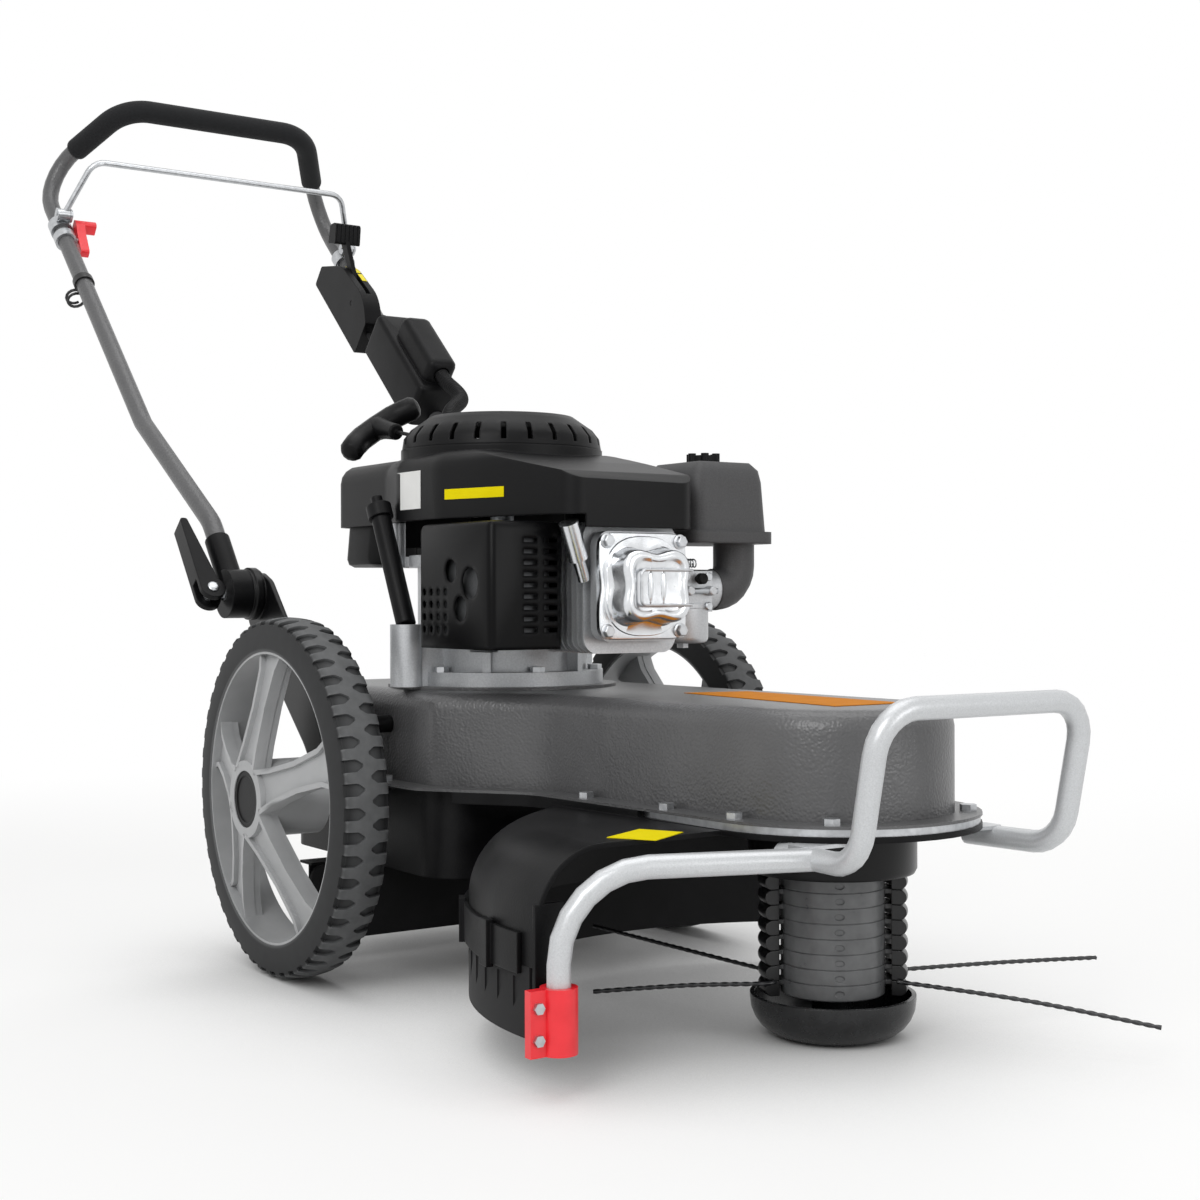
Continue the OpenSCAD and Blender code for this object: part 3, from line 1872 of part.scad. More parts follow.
module fuel_tank() {
  color(black)
    on_pad()
      difference() {
        union() {
          loft(concat(
            [level(tank_corners, 8, 122), level(tank_corners, 2, 125), level(tank_corners, 0, 131)],
            [level(tank_corners, 4, shroud_low + 14), level(tank_corners, 12, shroud_low + 20)]
          ));
          translate(fuel_neck + [0, 0, 150])
            cylinder(d = 34, h = neck_top - 150);
          translate([-60, 70, 126])
            cube([100, 60, 16]);
        }
        translate([0, 0, 100])
          cylinder(r = foot_r - 8 + fit, h = 60);
        translate(fuel_neck + [0, 0, 150])
          cylinder(d = 28, h = 140);
      }
}

module fuel_cap() {
  color(black)
    on_pad()
      translate(fuel_neck + [0, 0, neck_top - 14])
        difference() {
          union() {
            translate([0, 0, 4])
              cylinder(d = 46, h = 16);
            for (a = [0:30:330])
              rotate([0, 0, a])
                translate([23, 0, 4])
                  cylinder(d = 4, h = 16);
          }
          cylinder(d = 34 + 2 * gap, h = 14 + gap);
        }
}

// Oil filler tube and its cap

oil_from = [-124, -20, 62];
oil_way = unit([0, 46, 93]);
oil_len = 120;
oil_d = 20;

module oil_tube() {
  color(black)
    on_pad()
      difference() {
        rod(oil_from, oil_from + oil_way * oil_len, oil_d);
        rod(oil_from + oil_way * 14, oil_from + oil_way * (oil_len + cut), oil_d - 5);
        translate([oil_from.x - 30, oil_from.y - 30, oil_from.z - 20])
          cube([60, 60, 20]);
      }
}

module oil_cap() {
  top = oil_from + oil_way * (oil_len + gap);
  color(black)
    on_pad() {
      rod(top, top + oil_way * 14, 26);
      rod(top - oil_way * 20, top, oil_d - 5 - 2 * gap);
      rod(top + oil_way * 13, top + oil_way * 24, 12);
    }
}

// Spark plug and its metal boot

plug_at = [barrel_x - 56, barrel_front + 12, bore_z + 6];
plug_way = unit([-0.42, -0.2, 0.88]);

module spark_plug() {
  color(silver)
    on_pad()
      difference() {
        rod(plug_at, plug_at + plug_way * 40, 12);
        translate([barrel_x, barrel_front + 90, bore_z])
          rotate([90, 0, 0])
            linear_extrude(92)
              polygon(rounded(box_corners(-54.2, 54.2, -64, 62.2, 16), 0, 15));
      }
  color(silver)
    on_pad()
      difference() {
        rod(plug_at + plug_way * 22, plug_at + plug_way * 60, 19);
        rod(plug_at + plug_way * 20, plug_at + plug_way * 40.3, 12 + 2 * fit);
      }
}

// Carburettor, intake elbow and air cleaner

cleaner_x = [98, 194];
cleaner_y = [-207, -103];
cleaner_low = 142;
cleaner_h = 70;
cleaner_mid = [(cleaner_x[0] + cleaner_x[1]) / 2, (cleaner_y[0] + cleaner_y[1]) / 2];
carb_x = barrel_x + 54;
carb_y = -178;
carb_z = 96;

module carburettor() {
  color(silver)
    on_pad() {
      rod([carb_x + gap, carb_y, carb_z], [carb_x + 62, carb_y, carb_z], 40);
      translate([carb_x + 8, carb_y - 24, carb_z - 22])
        cube([38, 48, 40]);
      translate([carb_x + 27, carb_y, carb_z - 52])
        cylinder(d = 46, h = 36);
      translate([carb_x + 27, carb_y, carb_z - 58])
        cylinder(d = 12, h = 8, $fn = 6);
    }
}

module air_cleaner() {
  intake_elbow();
  air_cleaner_base();
  air_cleaner_cover();
}

module intake_elbow() {
  path = [
    [carb_x + 62, carb_y, carb_z],
    [carb_x + 92, carb_y, carb_z],
    [carb_x + 92, carb_y, cleaner_low]
  ];
  color(plastic)
    on_pad()
      tube_along(bent(path, 24), 42, 36, 16);
}

module air_cleaner_base() {
  corners = box_corners(cleaner_x[0] - 4, cleaner_x[1] + 4, cleaner_y[0] - 4, cleaner_y[1] + 4, 16);
  color(plastic)
    on_pad()
      difference() {
        linear_extrude_at(cleaner_low, 12)
          polygon(rounded(corners, 0, 15));
        translate([carb_x + 92, carb_y, cleaner_low - cut])
          cylinder(d = 30, h = 12);
      }
}

module air_cleaner_cover() {
  corners = box_corners(cleaner_x[0], cleaner_x[1], cleaner_y[0], cleaner_y[1], 18);
  low = cleaner_low + 12;
  color(plastic)
    on_pad()
      difference() {
        loft(concat(
          [level(corners, 0, low, 15), level(corners, 4, low + cleaner_h - 20, 15)],
          [level(corners, 7, low + cleaner_h - 8, 15), level(corners, 16, low + cleaner_h, 15)]
        ));
        translate([cleaner_mid.x, cleaner_mid.y, low])
          cylinder(d = 8 + 2 * running, h = cleaner_h + cut);
      }
}

module cleaner_knob() {
  top = cleaner_low + 12 + cleaner_h;
  color(black)
    on_pad()
      translate([cleaner_mid.x, cleaner_mid.y, 0]) {
        translate([0, 0, top - 30])
          cylinder(d = 8, h = 32);
        translate([0, 0, top + gap])
          cylinder(d = 30, h = 8);
        for (a = [0:60:300])
          rotate([0, 0, a])
            translate([14, 0, top + gap])
              cylinder(d = 8, h = 10);
      }
}

deck();
deck_bolts();
spindle_plate();
pan();
rear_flap();
deflector();
deflector_skirt();
skirt_band();
guard_frame();
guard_shoe();
small_bolts();
spindle_cover();
spindle_housing();
spindle();
spindle_pulley();
belt();
line_rings();
glide_bowl();
cutting_lines(0);  // lines_right
cutting_lines(2);  // lines_left
on_wheel(-1) tyre();  // tyre_right
on_wheel(1) tyre();  // tyre_left
on_wheel(-1) rim();  // rim_right
on_wheel(1) rim();  // rim_left
on_wheel(-1) hub_cap();  // cap_right
on_wheel(1) hub_cap();  // cap_left
axle();
side_plates();
handle_tube();
foam_grip();
both_sides() knuckle_arm();  // knuckle_arms
both_sides() clamp_bolt();  // clamp_bolts
cam_lever();  // cam_lever_right
left_side() cam_lever();  // cam_lever_left
bail();
handle_clamps();
bail_latch();
throttle_box();
throttle_lever();
cable_box();
throttle_cable();
conduit();
crankcase();
cylinder_block();
valve_cover();
muffler();
muffler_guard();
shroud();
recoil_cover();
pull_grip();
crankshaft();
flywheel();
fuel_tank();
fuel_cap();
oil_tube();
oil_cap();
spark_plug();
carburettor();
air_cleaner();
cleaner_knob();
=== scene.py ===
import math

import bpy
from mathutils import Matrix, Vector


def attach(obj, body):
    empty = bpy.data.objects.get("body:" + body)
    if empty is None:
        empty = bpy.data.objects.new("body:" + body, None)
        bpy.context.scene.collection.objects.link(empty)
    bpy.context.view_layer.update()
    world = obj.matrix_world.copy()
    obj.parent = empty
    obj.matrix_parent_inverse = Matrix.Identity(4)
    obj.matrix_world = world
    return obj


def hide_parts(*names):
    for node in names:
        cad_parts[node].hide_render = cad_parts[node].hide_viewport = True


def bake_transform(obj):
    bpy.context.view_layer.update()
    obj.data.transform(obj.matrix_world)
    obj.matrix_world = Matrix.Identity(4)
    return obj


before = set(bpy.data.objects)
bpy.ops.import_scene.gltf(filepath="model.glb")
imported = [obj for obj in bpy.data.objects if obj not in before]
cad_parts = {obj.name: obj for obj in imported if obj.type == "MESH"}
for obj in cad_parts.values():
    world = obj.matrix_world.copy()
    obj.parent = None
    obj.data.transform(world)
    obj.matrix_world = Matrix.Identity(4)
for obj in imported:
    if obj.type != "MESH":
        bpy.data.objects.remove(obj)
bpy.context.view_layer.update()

# Studio
# A white paper sweep in daylight-balanced softboxes, with the camera low at the machine's right front.
# The paper stays white where no shadow falls, and metal mirrors it.


def linear(code):
    """sRGB hex to linear RGBA."""
    parts = [int(code[i:i + 2], 16) / 255 for i in (1, 3, 5)]
    return tuple(c / 12.92 if c <= 0.04045 else ((c + 0.055) / 1.055) ** 2.4 for c in parts) + (1.0,)


def add(tree, kind, links=(), **settings):
    """A node with its settings; links are (its socket, a value or another node's socket)."""
    made = tree.nodes.new(kind)
    for name, value in settings.items():
        setattr(made, name, value)
    for socket, value in links:
        if isinstance(value, bpy.types.NodeSocket):
            tree.links.new(value, made.inputs[socket])
        else:
            made.inputs[socket].default_value = value
    return made


def material(name, **sockets):
    """A material with one Principled shader, and its tree and shader."""
    made = bpy.data.materials.new(name)
    made.use_nodes = True
    tree = made.node_tree
    tree.nodes.clear()
    shader = add(tree, "ShaderNodeBsdfPrincipled", [(k.replace("_", " "), v) for k, v in sockets.items()])
    add(tree, "ShaderNodeOutputMaterial", [("Surface", shader.outputs[0])])
    return made, tree, shader


scene = bpy.context.scene
scene.view_settings.view_transform = "Standard"

eye = Vector((-1.0227, -1.1508, 0.3757))
yaw, pitch, roll = (math.radians(a) for a in (34.197, -0.109, -0.16))
ahead = Vector((math.sin(yaw) * math.cos(pitch), math.cos(yaw) * math.cos(pitch), math.sin(pitch)))
side = Vector((math.cos(yaw), -math.sin(yaw), 0))
rise = side.cross(ahead)
right = side * math.cos(roll) + rise * math.sin(roll)
upward = rise * math.cos(roll) - side * math.sin(roll)
lens = bpy.data.cameras.new("camera")
lens.sensor_width = 36
lens.lens = 53.301
camera = bpy.data.objects.new("camera", lens)
camera.matrix_world = Matrix((right, upward, -ahead)).transposed().to_4x4()
camera.location = eye
scene.collection.objects.link(camera)
scene.camera = camera

world = bpy.data.worlds.new("white studio")
world.use_nodes = True
scene.world = world
air = world.node_tree
air.nodes.clear()
# The room shows white, straight or mirrored, and lights the machine at about a third of that
seen = add(air, "ShaderNodeLightPath")
direct = add(air, "ShaderNodeMath", [(0, seen.outputs["Is Camera Ray"]), (1, seen.outputs["Is Transmission Ray"])],
             operation="ADD", use_clamp=True)
mirrored = add(air, "ShaderNodeMath", [(0, direct.outputs[0]), (1, seen.outputs["Is Glossy Ray"])],
               operation="ADD", use_clamp=True)
level = add(air, "ShaderNodeMapRange", [("Value", mirrored.outputs[0]), ("To Min", 0.36), ("To Max", 1.0)])
glow = add(air, "ShaderNodeBackground", [("Color", (1, 1, 1, 1)), ("Strength", level.outputs[0])])
add(air, "ShaderNodeOutputWorld", [("Surface", glow.outputs[0])])


def softbox(name, place, target, size, power):
    """A lamp behind a cloth of a width and height in metres, turned to a target; power in watts."""
    lamp = bpy.data.lights.new(name, "AREA")
    lamp.shape = "RECTANGLE"
    lamp.size, lamp.size_y = size
    lamp.energy = power
    made = bpy.data.objects.new(name, lamp)
    made.location = place
    made.rotation_euler = (Vector(target) - Vector(place)).to_track_quat("-Z", "Y").to_euler()
    scene.collection.objects.link(made)
    return made


softbox("key softbox", (-2.3, -1.2, 2.1), (0, 0.4, 0.35), (1.4, 1.8), 44)
softbox("overhead softbox", (0.1, 0.3, 3.0), (0, 0.45, 0.2), (2.4, 2.4), 30)
softbox("rear softbox", (1.9, 2.2, 1.8), (0, 0.5, 0.4), (1.2, 1.6), 30).visible_glossy = False
softbox("front fill", (0.7, -2.6, 1.1), (0, 0.2, 0.3), (1.6, 1.2), 16)

paper, tree, shader = material("white paper", Base_Color=linear("#f6f6f5"), Roughness=0.7)
ray = add(tree, "ShaderNodeLightPath")
# A painted shadow: the paper's white glow is darkened by occlusion within a hand's breadth of what stands on it
close = add(tree, "ShaderNodeAmbientOcclusion", [("Distance", 0.28)], samples=8)
shade = add(tree, "ShaderNodeMapRange", [("Value", close.outputs["AO"]), ("From Min", 0.1), ("From Max", 0.9),
                                        ("To Min", 0.0), ("To Max", 1.0)])
white = add(tree, "ShaderNodeEmission", [("Color", (1, 1, 1, 1)), ("Strength", shade.outputs[0])])
# The paper is lit evenly away from the machine, from 0.8 m to 2.2 m out
spot = add(tree, "ShaderNodeTexCoord")
reach = add(tree, "ShaderNodeVectorMath", [(0, spot.outputs["Object"]), (1, (-0.05, 0.45, 0))], operation="DISTANCE")
even_light = add(tree, "ShaderNodeMapRange", [("Value", reach.outputs["Value"]), ("From Min", 0.8), ("From Max", 2.2),
                                             ("To Min", 0.5), ("To Max", 1.0)], interpolation_type="SMOOTHSTEP")
shown = add(tree, "ShaderNodeMath", [(0, ray.outputs["Is Camera Ray"]), (1, ray.outputs["Is Glossy Ray"])],
            operation="ADD", use_clamp=True)
lift = add(tree, "ShaderNodeMath", [(0, shown.outputs[0]), (1, even_light.outputs[0])], operation="MULTIPLY")
both = add(tree, "ShaderNodeMixShader", [(0, lift.outputs[0]), (1, shader.outputs[0]), (2, white.outputs[0])])
tree.links.new(both.outputs[0], tree.nodes["Material Output"].inputs["Surface"])
paper_half = 9
sheet = bpy.data.meshes.new("paper sweep")
sheet.from_pydata([(x * paper_half, y * paper_half, 0) for x, y in ((-1, -1), (1, -1), (1, 1), (-1, 1))],
                  [], [(0, 1, 2, 3)])
sheet.materials.append(paper)
floor = bpy.data.objects.new("paper_sweep", sheet)
# Half a millimetre below the ground, so that no piece lies in the paper's plane
floor.location.z = -0.0005
scene.collection.objects.link(floor)


# Cutting lines
# Two nylon lines, each folded round a lug of the head, so four ends stand out over the ground.
# The line is square and twisted, which shows as a row of dark beads.


def mottle(tree, shader, size, detail, dull, bright):
    """A base colour that wanders between two tones, in patches of a size in metres; gives the pattern's socket."""
    place = add(tree, "ShaderNodeTexCoord")
    patches = add(tree, "ShaderNodeTexNoise", [("Vector", place.outputs["Object"]), ("Scale", 1 / size),
                                              ("Detail", detail)])
    tone = add(tree, "ShaderNodeValToRGB", [("Fac", patches.outputs["Fac"])])
    tone.color_ramp.elements[0].color = linear(dull)
    tone.color_ramp.elements[1].color = linear(bright)
    tree.links.new(tone.outputs[0], shader.inputs["Base Color"])
    return patches.outputs["Fac"]


nylon, tree, shader = material("twisted nylon line", Roughness=0.42, IOR=1.53)
# Scuffs of about 6 mm
mottle(tree, shader, 0.00625, 3.0, "#0e0e0f", "#26272a")


def mm(x, y, z):
    """A point given in millimetres."""
    return Vector((x, y, z)) / 1000


def smooth(points, steps):
    """Points along a curve through a short list of points, as in the part's source."""
    out = []
    last = len(points) - 1
    for i in range(last):
        a, b = points[max(i - 1, 0)], points[i]
        c, d = points[i + 1], points[min(i + 2, last)]
        for k in range(steps + (i == last - 1)):
            t = k / steps
            out.append(0.5 * (2 * b + (c - a) * t + (2 * a - 5 * b + 4 * c - d) * t ** 2
                              + (3 * b - a - 3 * c + d) * t ** 3))
    return out


def piece(name, points, faces, finish, round_edges=True):
    """A mesh of one finish, put in the scene."""
    mesh = bpy.data.meshes.new(name)
    mesh.from_pydata([tuple(p) for p in points], [], faces)
    mesh.materials.append(finish)
    mesh.update()
    if round_edges:
        mesh.shade_smooth()
    made = bpy.data.objects.new(name, mesh)
    scene.collection.objects.link(made)
    return made


def even(points, gap):
    """The same curve with points an equal distance apart, and its length."""
    lengths = [0.0]
    for p, q in zip(points, points[1:]):
        lengths.append(lengths[-1] + (q - p).length)
    count = max(2, round(lengths[-1] / gap))
    out = []
    i = 0
    for k in range(count + 1):
        s = lengths[-1] * k / count
        while i < len(points) - 2 and lengths[i + 1] < s:
            i += 1
        share = (s - lengths[i]) / (lengths[i + 1] - lengths[i])
        out.append(points[i].lerp(points[i + 1], share))
    return out, lengths[-1]


def level_up(way):
    """The side of a path that counts as its top: upwards, or along Y where the path itself goes up."""
    return Vector((0, 0, 1)) if abs(way.z) < 0.9 else Vector((0, 1, 0))


def skin_faces(rings, n):
    """Faces over rings of n points each, with a cap at both ends."""
    faces = [(j * n + i, j * n + (i + 1) % n, (j + 1) * n + (i + 1) % n, (j + 1) * n + i)
             for j in range(rings - 1) for i in range(n)]
    return faces + [tuple(range(n - 1, -1, -1)), tuple(range((rings - 1) * n, rings * n))]


def sweep(name, path, outline, finish):
    """A closed skin along a path; outline(i) gives the section's points about the path."""
    ways = [(path[min(i + 1, len(path) - 1)] - path[max(i - 1, 0)]).normalized() for i in range(len(path))]
    up = level_up(ways[0])
    points = []
    for i, way in enumerate(ways):
        up = (up - way * up.dot(way)).normalized()
        across = way.cross(up)
        points += [path[i] + up * u + across * v for u, v in outline(i)]
    return piece(name, points, skin_faces(len(path), len(outline(0))), finish)


# A quarter turn in 9 mm, and flats at 0.74 of the corners' radius
line_d, line_flat = 0.004, 0.74
line_twist = math.radians(90) / 0.009
line_gap = 0.0011


def twisted(i):
    out = []
    for k in range(12):
        r = line_d / 2 * (1.0 if k % 3 == 0 else line_flat)
        a = i * line_gap * line_twist + math.radians(30 * k)
        out.append((r * math.cos(a), r * math.sin(a)))
    return out


# Each route starts beside its lug, in millimetres
line_routes = {
    "right_front_line": [(30.21, -47.15, 48.9), (96, -134, 40), (155, -221, 27)],
    "right_side_line": [(55.04, -10.35, 48.9), (160, -38, 48), (262, -64, 45)],
    "left_front_line": [(-55.04, 10.35, 48.9), (-69.01, 11.73, 48.9), (-120, 50, 47), (-185, 94, 42)],
    "left_rear_line": [(-30.21, 47.15, 48.9), (-56, 150, 56), (-71, 262, 60)],
}
for name, route in line_routes.items():
    path, reach = even(smooth([mm(*p) for p in route], 14), line_gap)
    line = sweep(name, path, twisted, nylon)
    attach(line, "head")
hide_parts("lines_right")
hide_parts("lines_left")


# Deck and handle tube
# Steel pressed and bent, and sprayed with a dark-grey hammer enamel.
# The enamel dries in shallow dimples, 2 to 3 mm across, that glitter along every edge.

# Faces that meet at less than 36 degrees belong to one round surface, and are shaded as one
rounding = bpy.data.node_groups.new("round surfaces", "GeometryNodeTree")
rounding.interface.new_socket("Geometry", in_out="INPUT", socket_type="NodeSocketGeometry")
rounding.interface.new_socket("Geometry", in_out="OUTPUT", socket_type="NodeSocketGeometry")
raw = add(rounding, "NodeGroupInput")
joined = add(rounding, "GeometryNodeMergeByDistance", [("Geometry", raw.outputs[0]), ("Distance", 0.00001)])
bare = add(rounding, "GeometryNodeRemoveAttribute", [("Geometry", joined.outputs[0]), ("Name", "custom_normal")])
soft = add(rounding, "GeometryNodeSetShadeSmooth", [("Geometry", bare.outputs[0]), ("Shade Smooth", True)])
fold = add(rounding, "GeometryNodeInputMeshEdgeAngle")
crease = add(rounding, "FunctionNodeCompare", [("A", fold.outputs["Unsigned Angle"]), ("B", math.radians(36))],
             operation="GREATER_THAN")
edged = add(rounding, "GeometryNodeSetShadeSmooth",
            [("Geometry", soft.outputs[0]), ("Selection", crease.outputs[0]), ("Shade Smooth", False)], domain="EDGE")
add(rounding, "NodeGroupOutput", [(0, edged.outputs[0])])


def round_off(made):
    """The round surfaces of a piece, shaded smooth."""
    made.modifiers.new("round surfaces", "NODES").node_group = rounding


def dress(finish, *names):
    """A finish on nodes of the frame, with their round surfaces shaded smooth."""
    for name in names:
        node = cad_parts[name]
        node.data.materials.clear()
        node.data.materials.append(finish)
        round_off(node)


enamel, tree, shader = material("grey hammer enamel", Roughness=0.34, Specular_IOR_Level=0.55)
place = add(tree, "ShaderNodeTexCoord")
dimple = add(tree, "ShaderNodeTexVoronoi", [("Vector", place.outputs["Object"]), ("Scale", 1 / 0.0024)],
             feature="SMOOTH_F1")
grime = add(tree, "ShaderNodeTexNoise", [("Vector", place.outputs["Object"]), ("Scale", 1 / 0.05), ("Detail", 4.0)])
tone = add(tree, "ShaderNodeValToRGB", [("Fac", grime.outputs["Fac"])])
tone.color_ramp.elements[0].position = 0.3
tone.color_ramp.elements[0].color = linear("#4f4f50")
tone.color_ramp.elements[1].position = 0.75
tone.color_ramp.elements[1].color = linear("#575758")
dent = add(tree, "ShaderNodeBump", [("Height", dimple.outputs["Distance"]), ("Strength", 0.75), ("Distance", 0.0006)])
tree.links.new(tone.outputs[0], shader.inputs["Base Color"])
tree.links.new(dent.outputs[0], shader.inputs["Normal"])
dress(enamel, "deck", "handle_tube")


# Bolts, spindle plate, axle and bail
# Zinc-plated steel: hexagon bolts, the spindle's plate, the axle and the bail's rod.
# The plating is pale and slightly cloudy, with a soft shine.

zinc, tree, shader = material("zinc plated steel", Metallic=1.0)
cloud = mottle(tree, shader, 0.006, 5.0, "#9a9c9f", "#d4d6d8")
shine = add(tree, "ShaderNodeMapRange", [("Value", cloud), ("To Min", 0.26), ("To Max", 0.46)])
tree.links.new(shine.outputs[0], shader.inputs["Roughness"])
dress(zinc, "deck_bolts", "small_bolts", "spindle_plate", "axle", "clamp_bolts", "bail")


# Handle clamps and rope eye
# Zinc-plated clamps for the bail and its latch, and a coiled wire eye for the starter rope, dipped in black.

# The handle's pivot in millimetres, and how steep it stands in degrees
pivot_y, pivot_z = 700, 380
handle_rake = 42.4


def from_handle(x, s, h):
    """A point beside the handle, s along it from its pivot and h off it, in millimetres."""
    a = math.radians(handle_rake)
    return mm(x, pivot_y + s * math.cos(a) - h * math.sin(a), pivot_z + s * math.sin(a) + h * math.cos(a))


clamps, tree, shader = material("zinc and black dip")
place = add(tree, "ShaderNodeTexCoord")
cloud = add(tree, "ShaderNodeTexNoise", [("Vector", place.outputs["Object"]), ("Scale", 1 / 0.006), ("Detail", 5.0)])
tone = add(tree, "ShaderNodeValToRGB", [("Fac", cloud.outputs["Fac"])])
tone.color_ramp.elements[0].color = linear("#9a9c9f")
tone.color_ramp.elements[1].color = linear("#d4d6d8")
# The dip covers what is within 60 mm of the eye
rope_eye = from_handle(-264, 645, -40)
off = add(tree, "ShaderNodeVectorMath", [(0, place.outputs["Object"]), (1, rope_eye)], operation="DISTANCE")
plated = add(tree, "ShaderNodeMath", [(0, off.outputs["Value"]), (1, 0.06)], operation="GREATER_THAN")
paint = add(tree, "ShaderNodeMix", [("Factor", plated.outputs[0]), (6, linear("#0d0d0e")), (7, tone.outputs[0])],
            data_type="RGBA")
shine = add(tree, "ShaderNodeMapRange", [("Value", cloud.outputs["Fac"]), ("To Min", 0.26), ("To Max", 0.46)])
tree.links.new(paint.outputs[2], shader.inputs["Base Color"])
tree.links.new(plated.outputs[0], shader.inputs["Metallic"])
tree.links.new(shine.outputs[0], shader.inputs["Roughness"])
dress(clamps, "handle_clamps")


# Side plates and muffler guard
# Sheet steel in satin black paint, plain on the plates and the spindle's cover and heat-proof on the guard.
# A fine orange peel breaks up the shine.

black_paint, tree, shader = material("satin black paint", Base_Color=linear("#0c0c0d"), Roughness=0.3, IOR=1.5,
                                     Specular_IOR_Level=0.22)
place = add(tree, "ShaderNodeTexCoord")
peel = add(tree, "ShaderNodeTexNoise", [("Vector", place.outputs["Object"]), ("Scale", 1 / 0.0022), ("Detail", 2.0)])
# Pressed and moulded edges are round, by about 3 mm here
edge = add(tree, "ShaderNodeBevel", [("Radius", 0.003)], samples=6)
skin = add(tree, "ShaderNodeBump", [("Height", peel.outputs["Fac"]), ("Strength", 0.12), ("Distance", 0.0004),
                                    ("Normal", edge.outputs[0])])
tree.links.new(skin.outputs[0], shader.inputs["Normal"])
dress(black_paint, "side_plates", "spindle_cover")

guard_paint, tree, shader = material("heat proof black paint", Base_Color=linear("#0a0a0b"), Roughness=0.26, IOR=1.5,
                                     Specular_IOR_Level=0.09)
place = add(tree, "ShaderNodeTexCoord")
peel = add(tree, "ShaderNodeTexNoise", [("Vector", place.outputs["Object"]), ("Scale", 1 / 0.004), ("Detail", 2.0)])
# The guard is deep drawn, with edges of about 5 mm
edge = add(tree, "ShaderNodeBevel", [("Radius", 0.005)], samples=8)
skin = add(tree, "ShaderNodeBump", [("Height", peel.outputs["Fac"]), ("Strength", 0.08), ("Distance", 0.0004),
                                    ("Normal", edge.outputs[0])])
tree.links.new(skin.outputs[0], shader.inputs["Normal"])
dress(guard_paint, "muffler_guard")


# Pan, deflector and other mouldings
# Black polypropylene from grained moulds: the pan, the deflector and its band, the knuckles, the boxes and
# the levers. The grain is a fine satin pebble.

moulded, tree, shader = material("grained polypropylene", Roughness=0.4, IOR=1.49, Specular_IOR_Level=0.12)
place = add(tree, "ShaderNodeTexCoord")
pebble = add(tree, "ShaderNodeTexVoronoi", [("Vector", place.outputs["Object"]), ("Scale", 1 / 0.0016)])
scuff = add(tree, "ShaderNodeTexNoise", [("Vector", place.outputs["Object"]), ("Scale", 1 / 0.04), ("Detail", 6.0)])
tone = add(tree, "ShaderNodeValToRGB", [("Fac", scuff.outputs["Fac"])])
tone.color_ramp.elements[0].position = 0.35
tone.color_ramp.elements[0].color = linear("#0d0d0e")
tone.color_ramp.elements[1].position = 0.8
tone.color_ramp.elements[1].color = linear("#1a1a1b")
edge = add(tree, "ShaderNodeBevel", [("Radius", 0.0018)], samples=6)
skin = add(tree, "ShaderNodeBump", [("Height", pebble.outputs["Distance"]), ("Strength", 0.2), ("Distance", 0.0004),
                                    ("Normal", edge.outputs[0])])
tree.links.new(tone.outputs[0], shader.inputs["Base Color"])
tree.links.new(skin.outputs[0], shader.inputs["Normal"])
dress(moulded, "pan", "deflector", "skirt_band", "cap_right", "cap_left", "knuckle_arms",
      "cam_lever_right", "cam_lever_left", "throttle_box", "throttle_lever", "cable_box", "oil_tube", "oil_cap",
      "cleaner_knob", "fuel_cap")


# Cam lever rivets
# Zinc-plated steel pins through the levers, headed over on both cheeks.

head_points = 36


def turned_head(name, place, way, profile, finish, body):
    """A head turned about way; profile rows are height, radius or half flats in millimetres, and 6 for a hexagon."""
    way = Vector(way).normalized()
    across = way.cross(level_up(way)).normalized()
    up = across.cross(way)
    points = []
    for height, r, sides in profile:
        for k in range(head_points):
            a = math.radians(360 / head_points * k)
            out = r / math.cos((a + math.pi / 6) % (math.pi / 3) - math.pi / 6) if sides == 6 else r
            points.append(place + (way * height + (up * math.cos(a) + across * math.sin(a)) * out) / 1000)
    made = piece(name, points, skin_faces(len(profile), head_points), finish)
    round_off(made)
    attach(made, body)


# The levers stand 8.4 degrees steeper than the handle, with a rivet's head on each cheek
lever_turn = math.radians(handle_rake + 8.4)
off_lever = Vector((0, -math.sin(lever_turn), math.cos(lever_turn)))
cheek_off = 0.0123
rivet = [(0.1, 6.5, 0), (1.2, 6.3, 0), (2.2, 5.2, 0), (2.7, 3.4, 0)]
for side_name, x in (("right", -281.6), ("left", 179.6)):
    for cheek, way in (("front", 1), ("back", -1)):
        turned_head("rivet_%s_%s" % (side_name, cheek), mm(x, pivot_y, pivot_z) + off_lever * way * cheek_off,
                    off_lever * way, rivet, zinc, "cam_lever_" + side_name)


# Throttle scale and knob
# Yellow marks beside the lever's slot, from slow to fast, and grip ridges moulded on the lever's knob.


def bent(path, bend, step=6):
    """A path with a round bend at each corner."""
    out = [path[0]]
    for p, q, r in zip(path, path[1:], path[2:]):
        a, b = (q - p).normalized(), (r - q).normalized()
        turn = math.acos(min(1, a.dot(b)))
        away = (a * a.dot(b) - b).normalized()
        centre = q - a * bend * math.tan(turn / 2) - away * bend
        steps = max(2, math.ceil(math.degrees(turn) / step))
        out += [centre + bend * (away * math.cos(turn * k / steps) + a * math.sin(turn * k / steps))
                for k in range(steps + 1)]
    out.append(path[-1])
    return out


def strip(name, path, low, high, finish, body):
    """A strip along a path, with a square section from low to high; each is across the path and off it."""
    def section(i):
        return [(low[1], low[0]), (low[1], high[0]), (high[1], high[0]), (high[1], low[0])]

    made = sweep(name, path, section, finish)
    round_off(made)
    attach(made, body)


scale_yellow, tree, shader = material("yellow ink", Roughness=0.45, IOR=1.5)
# Ink that covers unevenly, in patches of 4 mm
mottle(tree, shader, 0.004, 3.0, "#e6d200", "#f4e31a")
